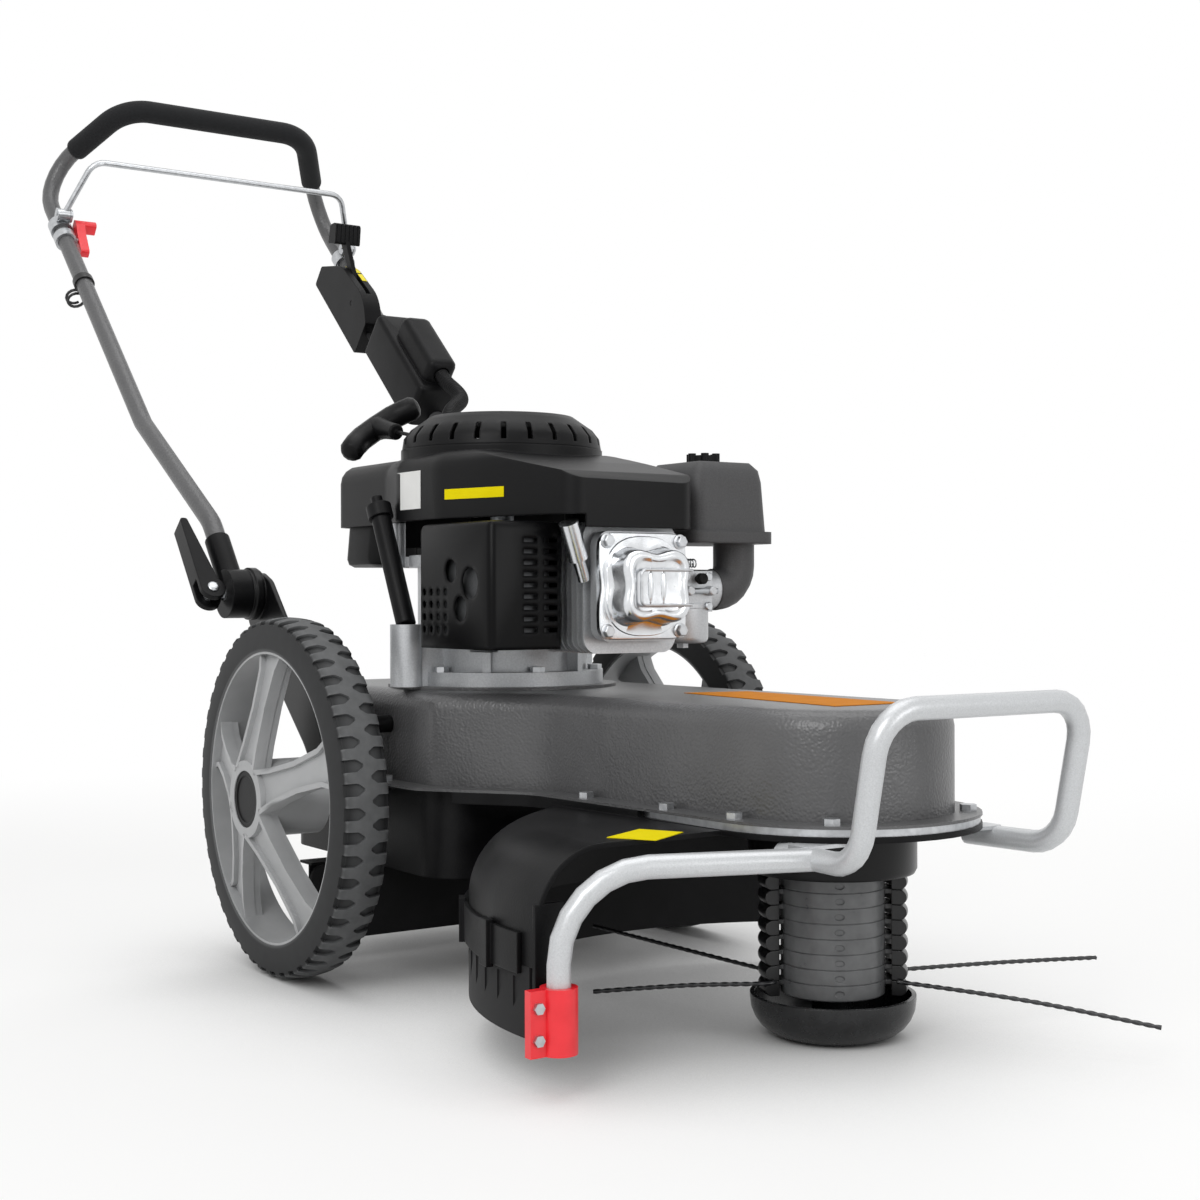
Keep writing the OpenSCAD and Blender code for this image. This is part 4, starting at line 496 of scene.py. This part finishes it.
# The box's rim along the handle and off it, with its bends and the gap between points
box_rim = ((119, -16), (64, 22), (-26, 30), (-57, 4))
rim_bend, rim_gap = 0.06, 0.002
rim = even(bent([from_handle(146, 635 + s, h - 10) for s, h in box_rim], rim_bend), rim_gap)[0]
for k, (start, end) in enumerate(((12, 26), (28, 42), (44, 54)), 1):
    strip("throttle_mark_%d" % k, rim[start:end + 1], (-0.0035, 0.0001), (0.0035, 0.0006), scale_yellow,
          "handle")
# The knob's front along the handle and off it, with a ridge every 6.6 mm across
knob_front = ((-12.6, 0.6), (-8, 7.2), (-2.4, 15.2), (2.6, 22.4))
ridge_pitch = 6.6
for k in range(6):
    ridge = [from_handle(121.5 + ridge_pitch * k, 739 + s, 34 + h) for s, h in knob_front]
    strip("knob_ridge_%d" % (k + 1), ridge, (-0.0013, -0.001), (0.0013, 0.0014), moulded,
          "throttle_lever")


# Line rings and glide bowl
# Glass-filled nylon from polished moulds. The bowl is worn smooth by grass: dark, with a long soft highlight.
# The rings' walls are painted grey, a painted sheen standing in for the glossy reflection on their drums.

worn_nylon, tree, shader = material("polished black nylon", IOR=1.53, Specular_IOR_Level=0.35)
wear_and_painted_sheen = mottle(tree, shader, 0.012, 5.0, "#0f0f10", "#2a2b2c")
shine = add(tree, "ShaderNodeMapRange", [("Value", wear_and_painted_sheen), ("To Min", 0.16), ("To Max", 0.36)])
edge = add(tree, "ShaderNodeBevel", [("Radius", 0.0012)], samples=6)
tree.links.new(shine.outputs[0], shader.inputs["Roughness"])
tree.links.new(edge.outputs[0], shader.inputs["Normal"])
dress(worn_nylon, "glide_bowl")

# Only the rings' walls carry the painted grey sheen: the lugs, from 45 to 50 mm out, stay black
ring_nylon, tree, shader = material("grey nylon with painted sheen", IOR=1.53, Specular_IOR_Level=0.4)
place = add(tree, "ShaderNodeTexCoord")
flat = add(tree, "ShaderNodeVectorMath", [(0, place.outputs["Object"]), (1, (1.0, 1.0, 0.0))], operation="MULTIPLY")
radius = add(tree, "ShaderNodeVectorMath", [(0, flat.outputs[0])], operation="LENGTH")
lugs = add(tree, "ShaderNodeMapRange", [("Value", radius.outputs["Value"]), ("From Min", 0.045), ("From Max", 0.05)])
wear_and_painted_sheen = add(tree, "ShaderNodeTexNoise", [("Vector", place.outputs["Object"]), ("Scale", 1 / 0.012), ("Detail", 5.0)])
tone = add(tree, "ShaderNodeValToRGB", [("Fac", wear_and_painted_sheen.outputs["Fac"])])
tone.color_ramp.elements[0].color = linear("#4c4d4e")
tone.color_ramp.elements[1].color = linear("#707172")
both = add(tree, "ShaderNodeMix", [("Factor", lugs.outputs[0]), (6, tone.outputs[0]), (7, linear("#141415"))],
           data_type="RGBA")
shine = add(tree, "ShaderNodeMapRange", [("Value", wear_and_painted_sheen.outputs["Fac"]), ("To Min", 0.22), ("To Max", 0.4)])
edge = add(tree, "ShaderNodeBevel", [("Radius", 0.0012)], samples=6)
tree.links.new(both.outputs[2], shader.inputs["Base Color"])
tree.links.new(shine.outputs[0], shader.inputs["Roughness"])
tree.links.new(edge.outputs[0], shader.inputs["Normal"])
dress(ring_nylon, "line_rings")


# Flap, skirt, belt and throttle cable
# Black rubber sheet, the belt's and the cable's rubber skins: dull, with a grey bloom of dust.

rubber, tree, shader = material("matt rubber", Roughness=0.75, IOR=1.52, Specular_IOR_Level=0.25,
                                Sheen_Weight=0.04, Sheen_Roughness=0.4)
# Bloom in patches of 30 mm, and grit drawn at 1.4 mm so that it shows
mottle(tree, shader, 0.03, 8.0, "#0f0f10", "#202021")
place = add(tree, "ShaderNodeTexCoord")
grit = add(tree, "ShaderNodeTexNoise", [("Vector", place.outputs["Object"]), ("Scale", 1 / 0.0014), ("Detail", 3.0)])
skin = add(tree, "ShaderNodeBump", [("Height", grit.outputs["Fac"]), ("Strength", 0.16), ("Distance", 0.0004)])
tree.links.new(skin.outputs[0], shader.inputs["Normal"])
dress(rubber, "rear_flap", "deflector_skirt", "belt", "throttle_cable")


# Guard frame
# Steel tube, bent cold and sprayed silver. The paint carries fine aluminium flake.

silver, tree, shader = material("silver paint", Metallic=0.3, Roughness=0.34, Coat_Weight=0.15, Coat_Roughness=0.2)
# Flake, drawn at 1.2 mm so that it shows
mottle(tree, shader, 0.0012, 2.0, "#b4b6b8", "#d6d8da")
dress(silver, "guard_frame")


# Shoe and bail latch
# Red nylon mouldings, bolted over the foot of the rail and set on the handle's tube.

red, tree, shader = material("red nylon", Roughness=0.33, IOR=1.53, Coat_Weight=0.1)
# Flow marks of the moulding, about 12 mm across
mottle(tree, shader, 0.012, 3.0, "#e01b26", "#f52b36")
dress(red, "guard_shoe", "bail_latch")


# Spindle, pulley and crankshaft
# Turned steel with fine lathe marks. The pulley and the spindle's housing are dull grey cast iron, and the muffler's
# scaled steel looks the same.

turned, tree, shader = material("turned steel", Base_Color=linear("#a8abae"), Metallic=1.0, Roughness=0.3)
place = add(tree, "ShaderNodeTexCoord")
# Lathe marks 0.8 mm apart
marks = add(tree, "ShaderNodeTexWave", [("Vector", place.outputs["Object"]), ("Scale", 2 * math.pi / 0.0008 / 20)],
            bands_direction="Z")
skin = add(tree, "ShaderNodeBump", [("Height", marks.outputs["Fac"]), ("Strength", 0.1), ("Distance", 0.0002)])
tree.links.new(skin.outputs[0], shader.inputs["Normal"])
dress(turned, "spindle", "crankshaft")

iron, tree, shader = material("cast iron", Metallic=0.8, Roughness=0.55)
sand = mottle(tree, shader, 0.0018, 4.0, "#38393a", "#58595b")
skin = add(tree, "ShaderNodeBump", [("Height", sand), ("Strength", 0.25), ("Distance", 0.0005)])
tree.links.new(skin.outputs[0], shader.inputs["Normal"])
dress(iron, "spindle_pulley", "spindle_housing", "muffler")


# Rims
# One-piece wheels of silver-grey glass-filled nylon, with a sandy moulded skin.

nylon_grey, tree, shader = material("silver grey nylon", Roughness=0.48, IOR=1.53, Metallic=0.15)
# Flow marks about 30 mm across, and a sandy skin drawn at 1 mm so that it shows
mottle(tree, shader, 0.03, 5.0, "#9a9b9c", "#b4b5b6")
place = add(tree, "ShaderNodeTexCoord")
fine = add(tree, "ShaderNodeTexNoise", [("Vector", place.outputs["Object"]), ("Scale", 1 / 0.001), ("Detail", 2.0)])
skin = add(tree, "ShaderNodeBump", [("Height", fine.outputs["Fac"]), ("Strength", 0.1), ("Distance", 0.0003)])
tree.links.new(skin.outputs[0], shader.inputs["Normal"])
dress(nylon_grey, "rim_right", "rim_left")


# Tyres
# Solid moulded rubber on the rims, its walls drawn over the rims' lips. Notches run in from both square shoulders,
# staggered, and end in a point near the middle. The tread is dusty and paler than the walls, and a painted highlight
# makes it palest along its edges.

axle_y, axle_z = 0.486, 0.178
tyre_rubber, tree, shader = material("moulded tyre rubber", Roughness=0.62, IOR=1.52, Specular_IOR_Level=0.3)
place = add(tree, "ShaderNodeTexCoord")
off_axle = add(tree, "ShaderNodeVectorMath", [(0, place.outputs["Object"]), (1, (0.0, axle_y, axle_z))],
               operation="SUBTRACT")
flat = add(tree, "ShaderNodeVectorMath", [(0, off_axle.outputs[0]), (1, (0.0, 1.0, 1.0))], operation="MULTIPLY")
radius = add(tree, "ShaderNodeVectorMath", [(0, flat.outputs[0])], operation="LENGTH")
# The walls end and the tread begins at the shoulder, from 172.5 to 176.5 mm out
tread = add(tree, "ShaderNodeMapRange", [("Value", radius.outputs["Value"]), ("From Min", 0.1725),
                                        ("From Max", 0.1765)])
dust = add(tree, "ShaderNodeTexNoise", [("Vector", place.outputs["Object"]), ("Scale", 1 / 0.012), ("Detail", 6.0)])
wall_tone = add(tree, "ShaderNodeValToRGB", [("Fac", dust.outputs["Fac"])])
wall_tone.color_ramp.elements[0].color = linear("#161617")
wall_tone.color_ramp.elements[1].color = linear("#242526")
tread_tone = add(tree, "ShaderNodeValToRGB", [("Fac", dust.outputs["Fac"])])
tread_tone.color_ramp.elements[0].color = linear("#464748")
tread_tone.color_ramp.elements[1].color = linear("#666768")
both = add(tree, "ShaderNodeMix", [("Factor", tread.outputs[0]), (6, wall_tone.outputs[0]),
                                   (7, tread_tone.outputs[0])], data_type="RGBA")
# Painted highlight: convex edges, found by pointiness, are mixed towards pale grey
shape = add(tree, "ShaderNodeNewGeometry")
wear_and_painted_sheen = add(tree, "ShaderNodeMapRange", [("Value", shape.outputs["Pointiness"]), ("From Min", 0.53),
                                         ("From Max", 0.6), ("To Max", 0.6)])
painted_edge_highlight = add(tree, "ShaderNodeMix", [("Factor", wear_and_painted_sheen.outputs[0]), (6, both.outputs[2]), (7, linear("#8a8b8c"))],
           data_type="RGBA")
skin = add(tree, "ShaderNodeBump", [("Height", dust.outputs["Fac"]), ("Strength", 0.12), ("Distance", 0.0005)])
tree.links.new(painted_edge_highlight.outputs[2], shader.inputs["Base Color"])
tree.links.new(skin.outputs[0], shader.inputs["Normal"])

tread_pitches = 50
notch_depth = 3.2
# A notch's half width in pitches, at its point and at its mouth, and where off the middle these are reached
notch_half = (0.04, 0.25)
notch_reach = (3.4, 10)
# Half of the section, from the bead round the rim's lip to the crown, in millimetres:
# off the middle, radius, and the share of the notch's depth
tyre_half = [
    (18, 150.3, 0), (19, 152.6, 0), (22.8, 152.6, 0), (22.8, 144.9, 0), (23.4, 144.2, 0), (24.2, 145, 0),
    (24.4, 149, 0), (24.2, 156, 0), (23.6, 163, 0), (22.8, 169, 0), (22.5, 170.6, 0), (22.2, 172.2, 1),
    (21.8, 173.8, 1), (21, 174.8, 1), (18, 175.7, 1), (14, 176.6, 1), (11, 177.1, 1), (9, 177.4, 1),
    (6, 177.7, 1), (4, 177.85, 1), (3.4, 177.9, 0), (2, 178, 0),
]
tyre_section = tyre_half + [(-v, r, share) for v, r, share in reversed(tyre_half)]
# Columns across one notch: share of its half width, further share of the pitch, and whether it lies on the floor
notch_columns = [(-1, -0.055, 0), (-1, -0.02, 0), (-1, 0, 1), (0, 0, 1), (1, 0, 1), (1, 0.02, 0), (1, 0.055, 0)]


def tyre(name, middle, body, node):
    """A tyre round the axle's axis, X, in columns of its section that wrap round in both directions."""
    n = len(tyre_section)
    inward = []
    for i in range(n):
        a, b = tyre_section[max(i - 1, 0)], tyre_section[min(i + 1, n - 1)]
        inward.append(Vector((a[1] - b[1], b[0] - a[0])).normalized())
    points = []
    for pitch in range(tread_pitches):
        for shoulder, start in ((-1, 0), (1, 0.5)):
            for half_share, more, on_floor in notch_columns:
                for (v, r, share), way in zip(tyre_section, inward):
                    opened = (v * shoulder - notch_reach[0]) / (notch_reach[1] - notch_reach[0])
                    width = notch_half[0] + (notch_half[1] - notch_half[0]) * min(max(opened, 0), 1)
                    cut = notch_depth * share * on_floor if v * shoulder > 0 else 0
                    turn = 2 * math.pi * (pitch + start + half_share * width + more) / tread_pitches
                    across, radius = v + way.x * cut, r + way.y * cut
                    points.append(mm(across, radius * math.cos(turn), radius * math.sin(turn)) + middle)
    columns = len(points) // n
    faces = []
    for j in range(columns):
        k = (j + 1) % columns
        faces += [(j * n + i, j * n + (i + 1) % n, k * n + (i + 1) % n, k * n + i) for i in range(n)]
    made = piece(name, points, faces, tyre_rubber)
    round_off(made)
    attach(made, body)
    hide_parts(node)


tyre("treaded_tyre_right", Vector((-0.286, axle_y, axle_z)), "wheel_right", "tyre_right")
tyre("treaded_tyre_left", Vector((0.184, axle_y, axle_z)), "wheel_left", "tyre_left")


# Foam grip
# A soft black rubber-foam sleeve pushed over the handle's top bar, with a pored skin and turned-in ends.

foam, tree, shader = material("black rubber foam", Roughness=0.85, IOR=1.45, Specular_IOR_Level=0.3,
                              Sheen_Weight=0.06, Sheen_Roughness=0.5)
place = add(tree, "ShaderNodeTexCoord")
# Pores of about 1.2 mm
pores = add(tree, "ShaderNodeTexVoronoi", [("Vector", place.outputs["Object"]), ("Scale", 1 / 0.0012)])
# The pores' hollows are painted darker than the skin between them, a painted shade in each pit
tone = add(tree, "ShaderNodeValToRGB", [("Fac", pores.outputs["Distance"])])
tone.color_ramp.elements[0].color = linear("#0f0f10")
tone.color_ramp.elements[1].color = linear("#212224")
skin = add(tree, "ShaderNodeBump", [("Height", pores.outputs["Distance"]), ("Strength", 0.35), ("Distance", 0.0005)])
tree.links.new(tone.outputs[0], shader.inputs["Base Color"])
tree.links.new(skin.outputs[0], shader.inputs["Normal"])
grip_r = 0.015
# How far the radius falls off over the last three rings, from the end inwards
end_falls = (0.0032, 0.0012, 0.0003)
grip_bend, grip_gap = 0.058, 0.0025
grip_corners = ((-232.4, 875.2, 40.2), (-185, 853, 129), (83, 853, 129), (130.4, 875.2, 40.2))
grip_path = even(bent([from_handle(*corner) for corner in grip_corners], grip_bend), grip_gap)[0]


def ring(r, step):
    """A round section, with a point every so many degrees."""
    return [(r * math.cos(math.radians(a)), r * math.sin(math.radians(a))) for a in range(0, 360, step)]


def sleeve(i):
    end = min(i, len(grip_path) - 1 - i)
    return ring(grip_r if end >= len(end_falls) else grip_r - end_falls[end], 12)


grip = sweep("foam_sleeve", grip_path, sleeve, foam)
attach(grip, "handle")
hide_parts("foam_grip")


# Conduit
# A ribbed tube of black polypropylene that carries the cables from the box on the handle down to the engine.

conduit_r = 0.01
rib_pitch = 0.0048
# Rings a quarter of a pitch apart: a rib's top, a flank, the groove and a flank
rib_falls = (0, 0.0003, 0.0019, 0.0003)
conduit_route = [from_handle(154, 399, 43), from_handle(154, 379, 43), from_handle(150, 323, 55),
                 mm(96, 838, 606), mm(48, 742, 532), mm(22, 690, 478), mm(14, 651, 462)]
conduit_path, conduit_length = even(smooth(conduit_route, 24), rib_pitch / len(rib_falls))


def ribbed(i):
    return ring(conduit_r - rib_falls[i % len(rib_falls)], 18)


conduit = sweep("ribbed_conduit", conduit_path, ribbed, moulded)
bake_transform(conduit)
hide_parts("conduit")


# Engine castings
# Die-cast aluminium: the crankcase, the finned cylinder, the flywheel and the carburettor, bead-blasted and bright.

cast, tree, shader = material("die cast aluminium", Metallic=0.6, Roughness=0.42)
sand = mottle(tree, shader, 0.0016, 4.0, "#a6a8ab", "#d0d2d4")
skin = add(tree, "ShaderNodeBump", [("Height", sand), ("Strength", 0.2), ("Distance", 0.0004)])
tree.links.new(skin.outputs[0], shader.inputs["Normal"])
dress(cast, "crankcase", "cylinder_block", "flywheel", "carburettor")


# Valve cover and spark plug
# Pressed aluminium, polished and held by four bolts with flanged heads. The plug's boot is bright metal too.

polished, tree, shader = material("polished aluminium", Metallic=1.0)
buff = mottle(tree, shader, 0.01, 4.0, "#cfd1d4", "#e8eaec")
shine = add(tree, "ShaderNodeMapRange", [("Value", buff), ("To Min", 0.16), ("To Max", 0.32)])
tree.links.new(shine.outputs[0], shader.inputs["Roughness"])
dress(polished, "spark_plug")

flanged_bolt = [(0.1, 7.2, 0), (1.1, 7.2, 0), (1.6, 5, 6), (5.6, 5, 6), (6.2, 4.3, 6)]
for k, (x, z) in enumerate(((-83.5, 343), (1.5, 343), (-83.5, 428), (1.5, 428)), 1):
    turned_head("cover_bolt_%d" % k, mm(x, 220, z), (0, -1, 0), flanged_bolt, zinc, "chassis")

# The pressing in rings from the joint face outwards, in millimetres: distance out, half width, half height,
# squareness, and how far its sides and its top and bottom are drawn in at the middle.
# The dome's top and bottom leave a crescent of flange between the bolts.
cover_middle = Vector((-41, 226, 385.5))
cover_rings = [
    (0.3, 50.4, 50.4, 9, 0.05, 0), (5, 50.4, 50.4, 9, 0.05, 0), (5.8, 49.8, 49.8, 9, 0.05, 0),
    (6, 48.8, 48.8, 9, 0.05, 0), (6, 46.4, 47.4, 2.6, 0.04, 0), (7.4, 45.6, 46.6, 2.6, 0.04, 0),
    (7.5, 43.6, 40.4, 3, 0.05, 0.13), (8.6, 42.2, 38.8, 3.2, 0.06, 0.14), (12, 41.2, 37.6, 3.5, 0.08, 0.14),
    (26, 39, 35.6, 3.8, 0.09, 0.14), (29.6, 37.8, 34.5, 3.8, 0.09, 0.14), (31.4, 35.6, 32.4, 3.8, 0.09, 0.14),
    (32, 32.8, 29.8, 3.8, 0.09, 0.14), (31.6, 30.6, 27.6, 3.8, 0.09, 0.14), (30, 28.8, 25.8, 3.8, 0.08, 0.13),
    (29.6, 26.6, 23.6, 3.8, 0.07, 0.12),
]
ring_points = 144
waist_reach, dip_reach = 13, 15
points = []
for out, half_w, half_h, square, waist, dip in cover_rings:
    for k in range(ring_points):
        c, s = math.cos(2 * math.pi * k / ring_points), math.sin(2 * math.pi * k / ring_points)
        r = (abs(c / half_w) ** square + abs(s / half_h) ** square) ** (-1 / square)
        x = r * c * (1 - waist * math.exp(-(r * s / waist_reach) ** 2))
        z = r * s * (1 - dip * math.exp(-(r * c / dip_reach) ** 2))
        points.append((cover_middle + Vector((x, -out, z))) / 1000)
pressing = piece("valve_cover_pressing", points, skin_faces(len(cover_rings), ring_points), polished)
round_off(pressing)
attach(pressing, "chassis")
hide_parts("valve_cover")

# Two upright ribs are pressed into the face, and a wire clip lies across it with its ends down the right wall
rib_r, rib_height, rib_steps = 0.0034, 34, 16


def rib(i):
    return ring(rib_r * max(0.15, math.sin(math.pi * i / rib_steps)) ** 0.5, 20)


for k, x in enumerate((-9, 6), 1):
    path = [(cover_middle + Vector((x, -28.6, 17 - rib_height * i / rib_steps))) / 1000
            for i in range(rib_steps + 1)]
    raised = sweep("cover_rib_%d" % k, path, rib, polished)
    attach(raised, "chassis")

clip_r, clip_bend = 0.0014, 0.005
clip_route = [(42, 14, 15), (38.6, 33.4, 15), (-22, 33.4, 15), (-22, 33.4, -18), (38.6, 33.4, -18), (42, 14, -18)]
clip_path = bent([(cover_middle + Vector((x, -out, z))) / 1000 for x, out, z in clip_route], clip_bend)
clip = sweep("cover_clip", clip_path, lambda i: ring(clip_r, 30), zinc)
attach(clip, "chassis")


# Carburettor fittings
# Body screws, a brass drain screw, the float bowl under the body, the throttle's steel shaft before its two cast
# bosses, a moulded idle knob, and the throttle's wound return spring.

small_screw = [(0.1, 4.2, 0), (2.2, 4.2, 0), (3, 3.4, 0)]
for k, (x, z) in enumerate(((26.5, 366), (53.5, 366), (26.5, 395), (53.5, 395)), 1):
    turned_head("body_screw_%d" % k, mm(x, 243, z), (0, -1, 0), small_screw, zinc, "chassis")

brass, tree, shader = material("turned brass", Metallic=1.0, Roughness=0.3)
# Tarnish in patches of 4 mm
mottle(tree, shader, 0.004, 4.0, "#9a7b34", "#d0b060")
drain_profile = [(-4, 3, 0), (1, 3, 0), (1.4, 4, 6), (5, 4, 6), (5.6, 3.4, 6)]
turned_head("drain_screw", mm(24, 249, 346), (-0.5, -1, 0), drain_profile, brass, "chassis")

bowl_profile = [(0, 24, 0), (0, 26.3, 0), (4.2, 26.3, 0), (4.8, 25.6, 0), (33.4, 25.6, 0), (35.6, 25.1, 0),
                (37.6, 23.8, 0), (38.8, 21.8, 0), (39.2, 19.4, 0), (39.2, 9, 0)]
turned_head("float_bowl", mm(40, 267, 368.5), (0, 0, -1), bowl_profile, cast, "chassis")

shaft_profile = [(0, 2.4, 0), (0.5, 2.9, 0), (38, 2.9, 0), (38.6, 2.2, 0)]
turned_head("throttle_shaft", mm(23, 238, 381), (1, 0, 0), shaft_profile, turned, "chassis")
boss_profile = [(-1, 5, 0), (2.6, 5, 0), (9, 4.4, 0), (9.8, 3.4, 0)]
for k, x in enumerate((27, 54), 1):
    turned_head("shaft_boss_%d" % k, mm(x, 243.5, 381), (0, -1, 0), boss_profile, cast, "chassis")
knob_profile = [(0.1, 3, 0), (5, 3, 0), (5.2, 5.6, 0), (11, 5.4, 0), (11.8, 4.4, 0), (11.2, 2, 0)]
turned_head("idle_knob", mm(40, 243, 393), (0, -1, 0), knob_profile, moulded, "chassis")

# Seven turns of wire, in millimetres, drawn in steps of 30 degrees
coil_r, coil_pitch, coil_turns = 4, 3.2, 7
wire_r = 0.0007
spring = [mm(22 + coil_pitch * k / 12, 252 + coil_r * math.cos(math.radians(30 * k)),
             408.5 + coil_r * math.sin(math.radians(30 * k))) for k in range(12 * coil_turns + 1)]
coil = sweep("throttle_spring", spring, lambda i: ring(wire_r, 45), turned)
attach(coil, "chassis")


# Shroud, starter housing, tank and air cleaner
# Black ABS mouldings with a fine spark-eroded skin. They are satin, and worn a little uneven.

abs_black, tree, shader = material("satin black ABS", Roughness=0.4, IOR=1.54, Specular_IOR_Level=0.12)
# Worn patches of 60 mm on the spark-eroded skin
mottle(tree, shader, 0.06, 5.0, "#0a0a0b", "#141415")
place = add(tree, "ShaderNodeTexCoord")
spark = add(tree, "ShaderNodeTexNoise", [("Vector", place.outputs["Object"]), ("Scale", 1 / 0.0009), ("Detail", 2.0)])
edge = add(tree, "ShaderNodeBevel", [("Radius", 0.0025)], samples=6)
skin = add(tree, "ShaderNodeBump", [("Height", spark.outputs["Fac"]), ("Strength", 0.3), ("Distance", 0.0004),
                                    ("Normal", edge.outputs[0])])
tree.links.new(skin.outputs[0], shader.inputs["Normal"])
dress(abs_black, "shroud", "recoil_cover", "pull_grip", "fuel_tank")

# The air cleaner's cover comes from a coarser mould; its paler grey base is a painted sheen, standing in for the
# satin shine on its face
cleaner_abs, tree, shader = material("coarse black ABS", Roughness=0.5, IOR=1.54, Specular_IOR_Level=0.25)
spark = mottle(tree, shader, 0.0014, 2.0, "#3a3a3b", "#505051")
edge = add(tree, "ShaderNodeBevel", [("Radius", 0.004)], samples=6)
skin = add(tree, "ShaderNodeBump", [("Height", spark), ("Strength", 0.35), ("Distance", 0.0004),
                                    ("Normal", edge.outputs[0])])
tree.links.new(skin.outputs[0], shader.inputs["Normal"])
dress(cleaner_abs, "air_cleaner")

# The starter grip's neck swells from the rope to the hand: distance along the rope and radius, in millimetres
rope_way = Vector((0, 73, 13)).normalized()
neck_from = Vector((-148, 515.42, 549.38))
neck = [(1.5, 7.6), (2.5, 8.6), (12, 9.0), (24, 9.8), (34, 11.2), (42, 13), (47, 12)]
neck_path = [(neck_from + rope_way * at) / 1000 for at, r in neck]
grip_neck = sweep("starter_grip_neck", neck_path, lambda i: ring(neck[i][1] / 1000, 12), abs_black)
round_off(grip_neck)
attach(grip_neck, "pull_grip")


# Conduit's cowl
# A black ABS cowl on the shroud's rear wall that takes the conduit's end and leads the cables in under the shroud.
# It is moulded as a hood that runs out flat on the wall.

wall_out = Vector((0.866, 0.5, 0))
wall_along = Vector((0.5, -0.866, 0))
conduit_end = conduit_path[-1]
# The conduit's end stands off the wall by the gap, and the hood's foot lies just clear of the wall
wall_gap, wall_clear = 0.0248, 0.0002
wall_at = conduit_end.dot(wall_out) - wall_gap
# The conduit's way over its last two ribs; the cowl's lip reaches 12 mm up it, and the bore ends just past it
end_way = (conduit_end - conduit_path[-1 - 2 * len(rib_falls)]).normalized()
lip, bore_end = conduit_end - end_way * 0.012, conduit_end + end_way * 0.0015
# Rings from the bore's end out round the lip and along the hood: centre, way and radius
cowl_rings = [(bore_end, end_way, 0.0108), (lip, end_way, 0.0108), (lip - end_way * 0.0006, end_way, 0.0116),
              (lip, end_way, 0.0126), (lip + end_way * 0.004, end_way, 0.0128), (conduit_end, end_way, 0.0134)]
# The hood's run in millimetres past the conduit's end: along the wall, out from it, up, and its radius
hood = [(0, 24.8, 0, 13.4), (8, 17.5, 1, 13.6), (13, 13.6, 2.5, 13.5), (18, 10, 4.2, 13), (23, 7, 5.6, 12),
        (28, 4.4, 6.8, 10.4), (33, 2.2, 7.6, 7.8), (37, 0.9, 8, 4.6), (39, 0.5, 8, 1.6)]
spots = [conduit_end + (wall_along * u + wall_out * (out - 1000 * wall_gap) + Vector((0, 0, up))) / 1000
         for u, out, up, r in hood]
for i in range(1, len(hood)):
    way = (spots[min(i + 1, len(hood) - 1)] - spots[i - 1]).normalized()
    cowl_rings.append((spots[i], way, hood[i][3] / 1000))
cowl_sides = 40
points = []
for centre, way, r in cowl_rings:
    across = way.cross(Vector((0, 0, 1))).normalized()
    up = across.cross(way)
    for k in range(cowl_sides):
        a = 2 * math.pi * k / cowl_sides
        point = centre + (across * math.cos(a) + up * math.sin(a)) * r
        sunk = wall_at + wall_clear - point.dot(wall_out)
        points.append(point + wall_out * max(0, sunk))
cowl = piece("conduit_cowl", points, skin_faces(len(cowl_rings), cowl_sides), abs_black)
round_off(cowl)
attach(cowl, "chassis")


# Bare plates
# Blank vinyl plates: white and yellow on the shroud, orange on the deck's top and yellow on the deflector.

# A plate's back and its face, in millimetres off what it sits on
plate_depths = (0.1, 0.7)


def band(name, plan, low, high, finish, body):
    """A thin plate that stands on a wall and follows it in plan."""
    walls = [Vector((x, y)) for x, y in plan]
    ways = [(walls[min(i + 1, len(walls) - 1)] - walls[max(i - 1, 0)]).normalized() for i in range(len(walls))]
    outs = [Vector((-w.y, w.x)) for w in ways]
    points = []
    for depth in plate_depths:
        for z in (low, high):
            points += [mm(p.x + o.x * depth, p.y + o.y * depth, z) for p, o in zip(walls, outs)]
    n = len(walls)
    faces = []
    for i in range(n - 1):
        faces += [(i, i + n, i + n + 1, i + 1), (2 * n + i, 2 * n + i + 1, 3 * n + i + 1, 3 * n + i),
                  (i, i + 1, 2 * n + i + 1, 2 * n + i), (n + i, 3 * n + i, 3 * n + i + 1, n + i + 1)]
    faces += [(0, 2 * n, 3 * n, n), (n - 1, 2 * n - 1, 4 * n - 1, 3 * n - 1)]
    made = piece(name, points, faces, finish, False)
    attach(made, body)


vinyl = {}
for name, dull, bright in (("white", "#e4e4e2", "#f2f2f0"), ("yellow", "#e8d400", "#f4e31a"),
                           ("orange", "#b56c10", "#cd8320")):
    vinyl[name], tree, shader = material(name + " vinyl", Roughness=0.65, IOR=1.5, Specular_IOR_Level=0.05)
    mottle(tree, shader, 0.02, 4.0, dull, bright)

band("white_plate", [(-175, 414), (-175, 450), (-173.6, 465), (-168.6, 482)], 464, 502,
     vinyl["white"], "chassis")
band("yellow_strip", [(-148.5, 297.6), (-154.8, 318.5), (-161.3, 339.8), (-167.1, 358.9), (-171.2, 371.5)], 471, 481,
     vinyl["yellow"], "chassis")


def flat_plate(name, corners, top, finish, body):
    """A thin plate that lies on a level face."""
    n = len(corners)
    points = [mm(x, y, top + depth) for depth in plate_depths for x, y in corners]
    faces = [tuple(range(n - 1, -1, -1)), tuple(range(n, 2 * n))]
    faces += [(i, (i + 1) % n, n + (i + 1) % n, n + i) for i in range(n)]
    made = piece(name, points, faces, finish, False)
    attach(made, body)


flat_plate("orange_plate", [(-30, -38), (48, -38), (58, 186), (-7, 202)], 283.5,
           vinyl["orange"], "chassis")
flat_plate("yellow_plate", [(-206, -26), (-160, 0), (-178, 36), (-228, 10)], 184.5,
           vinyl["yellow"], "chassis")
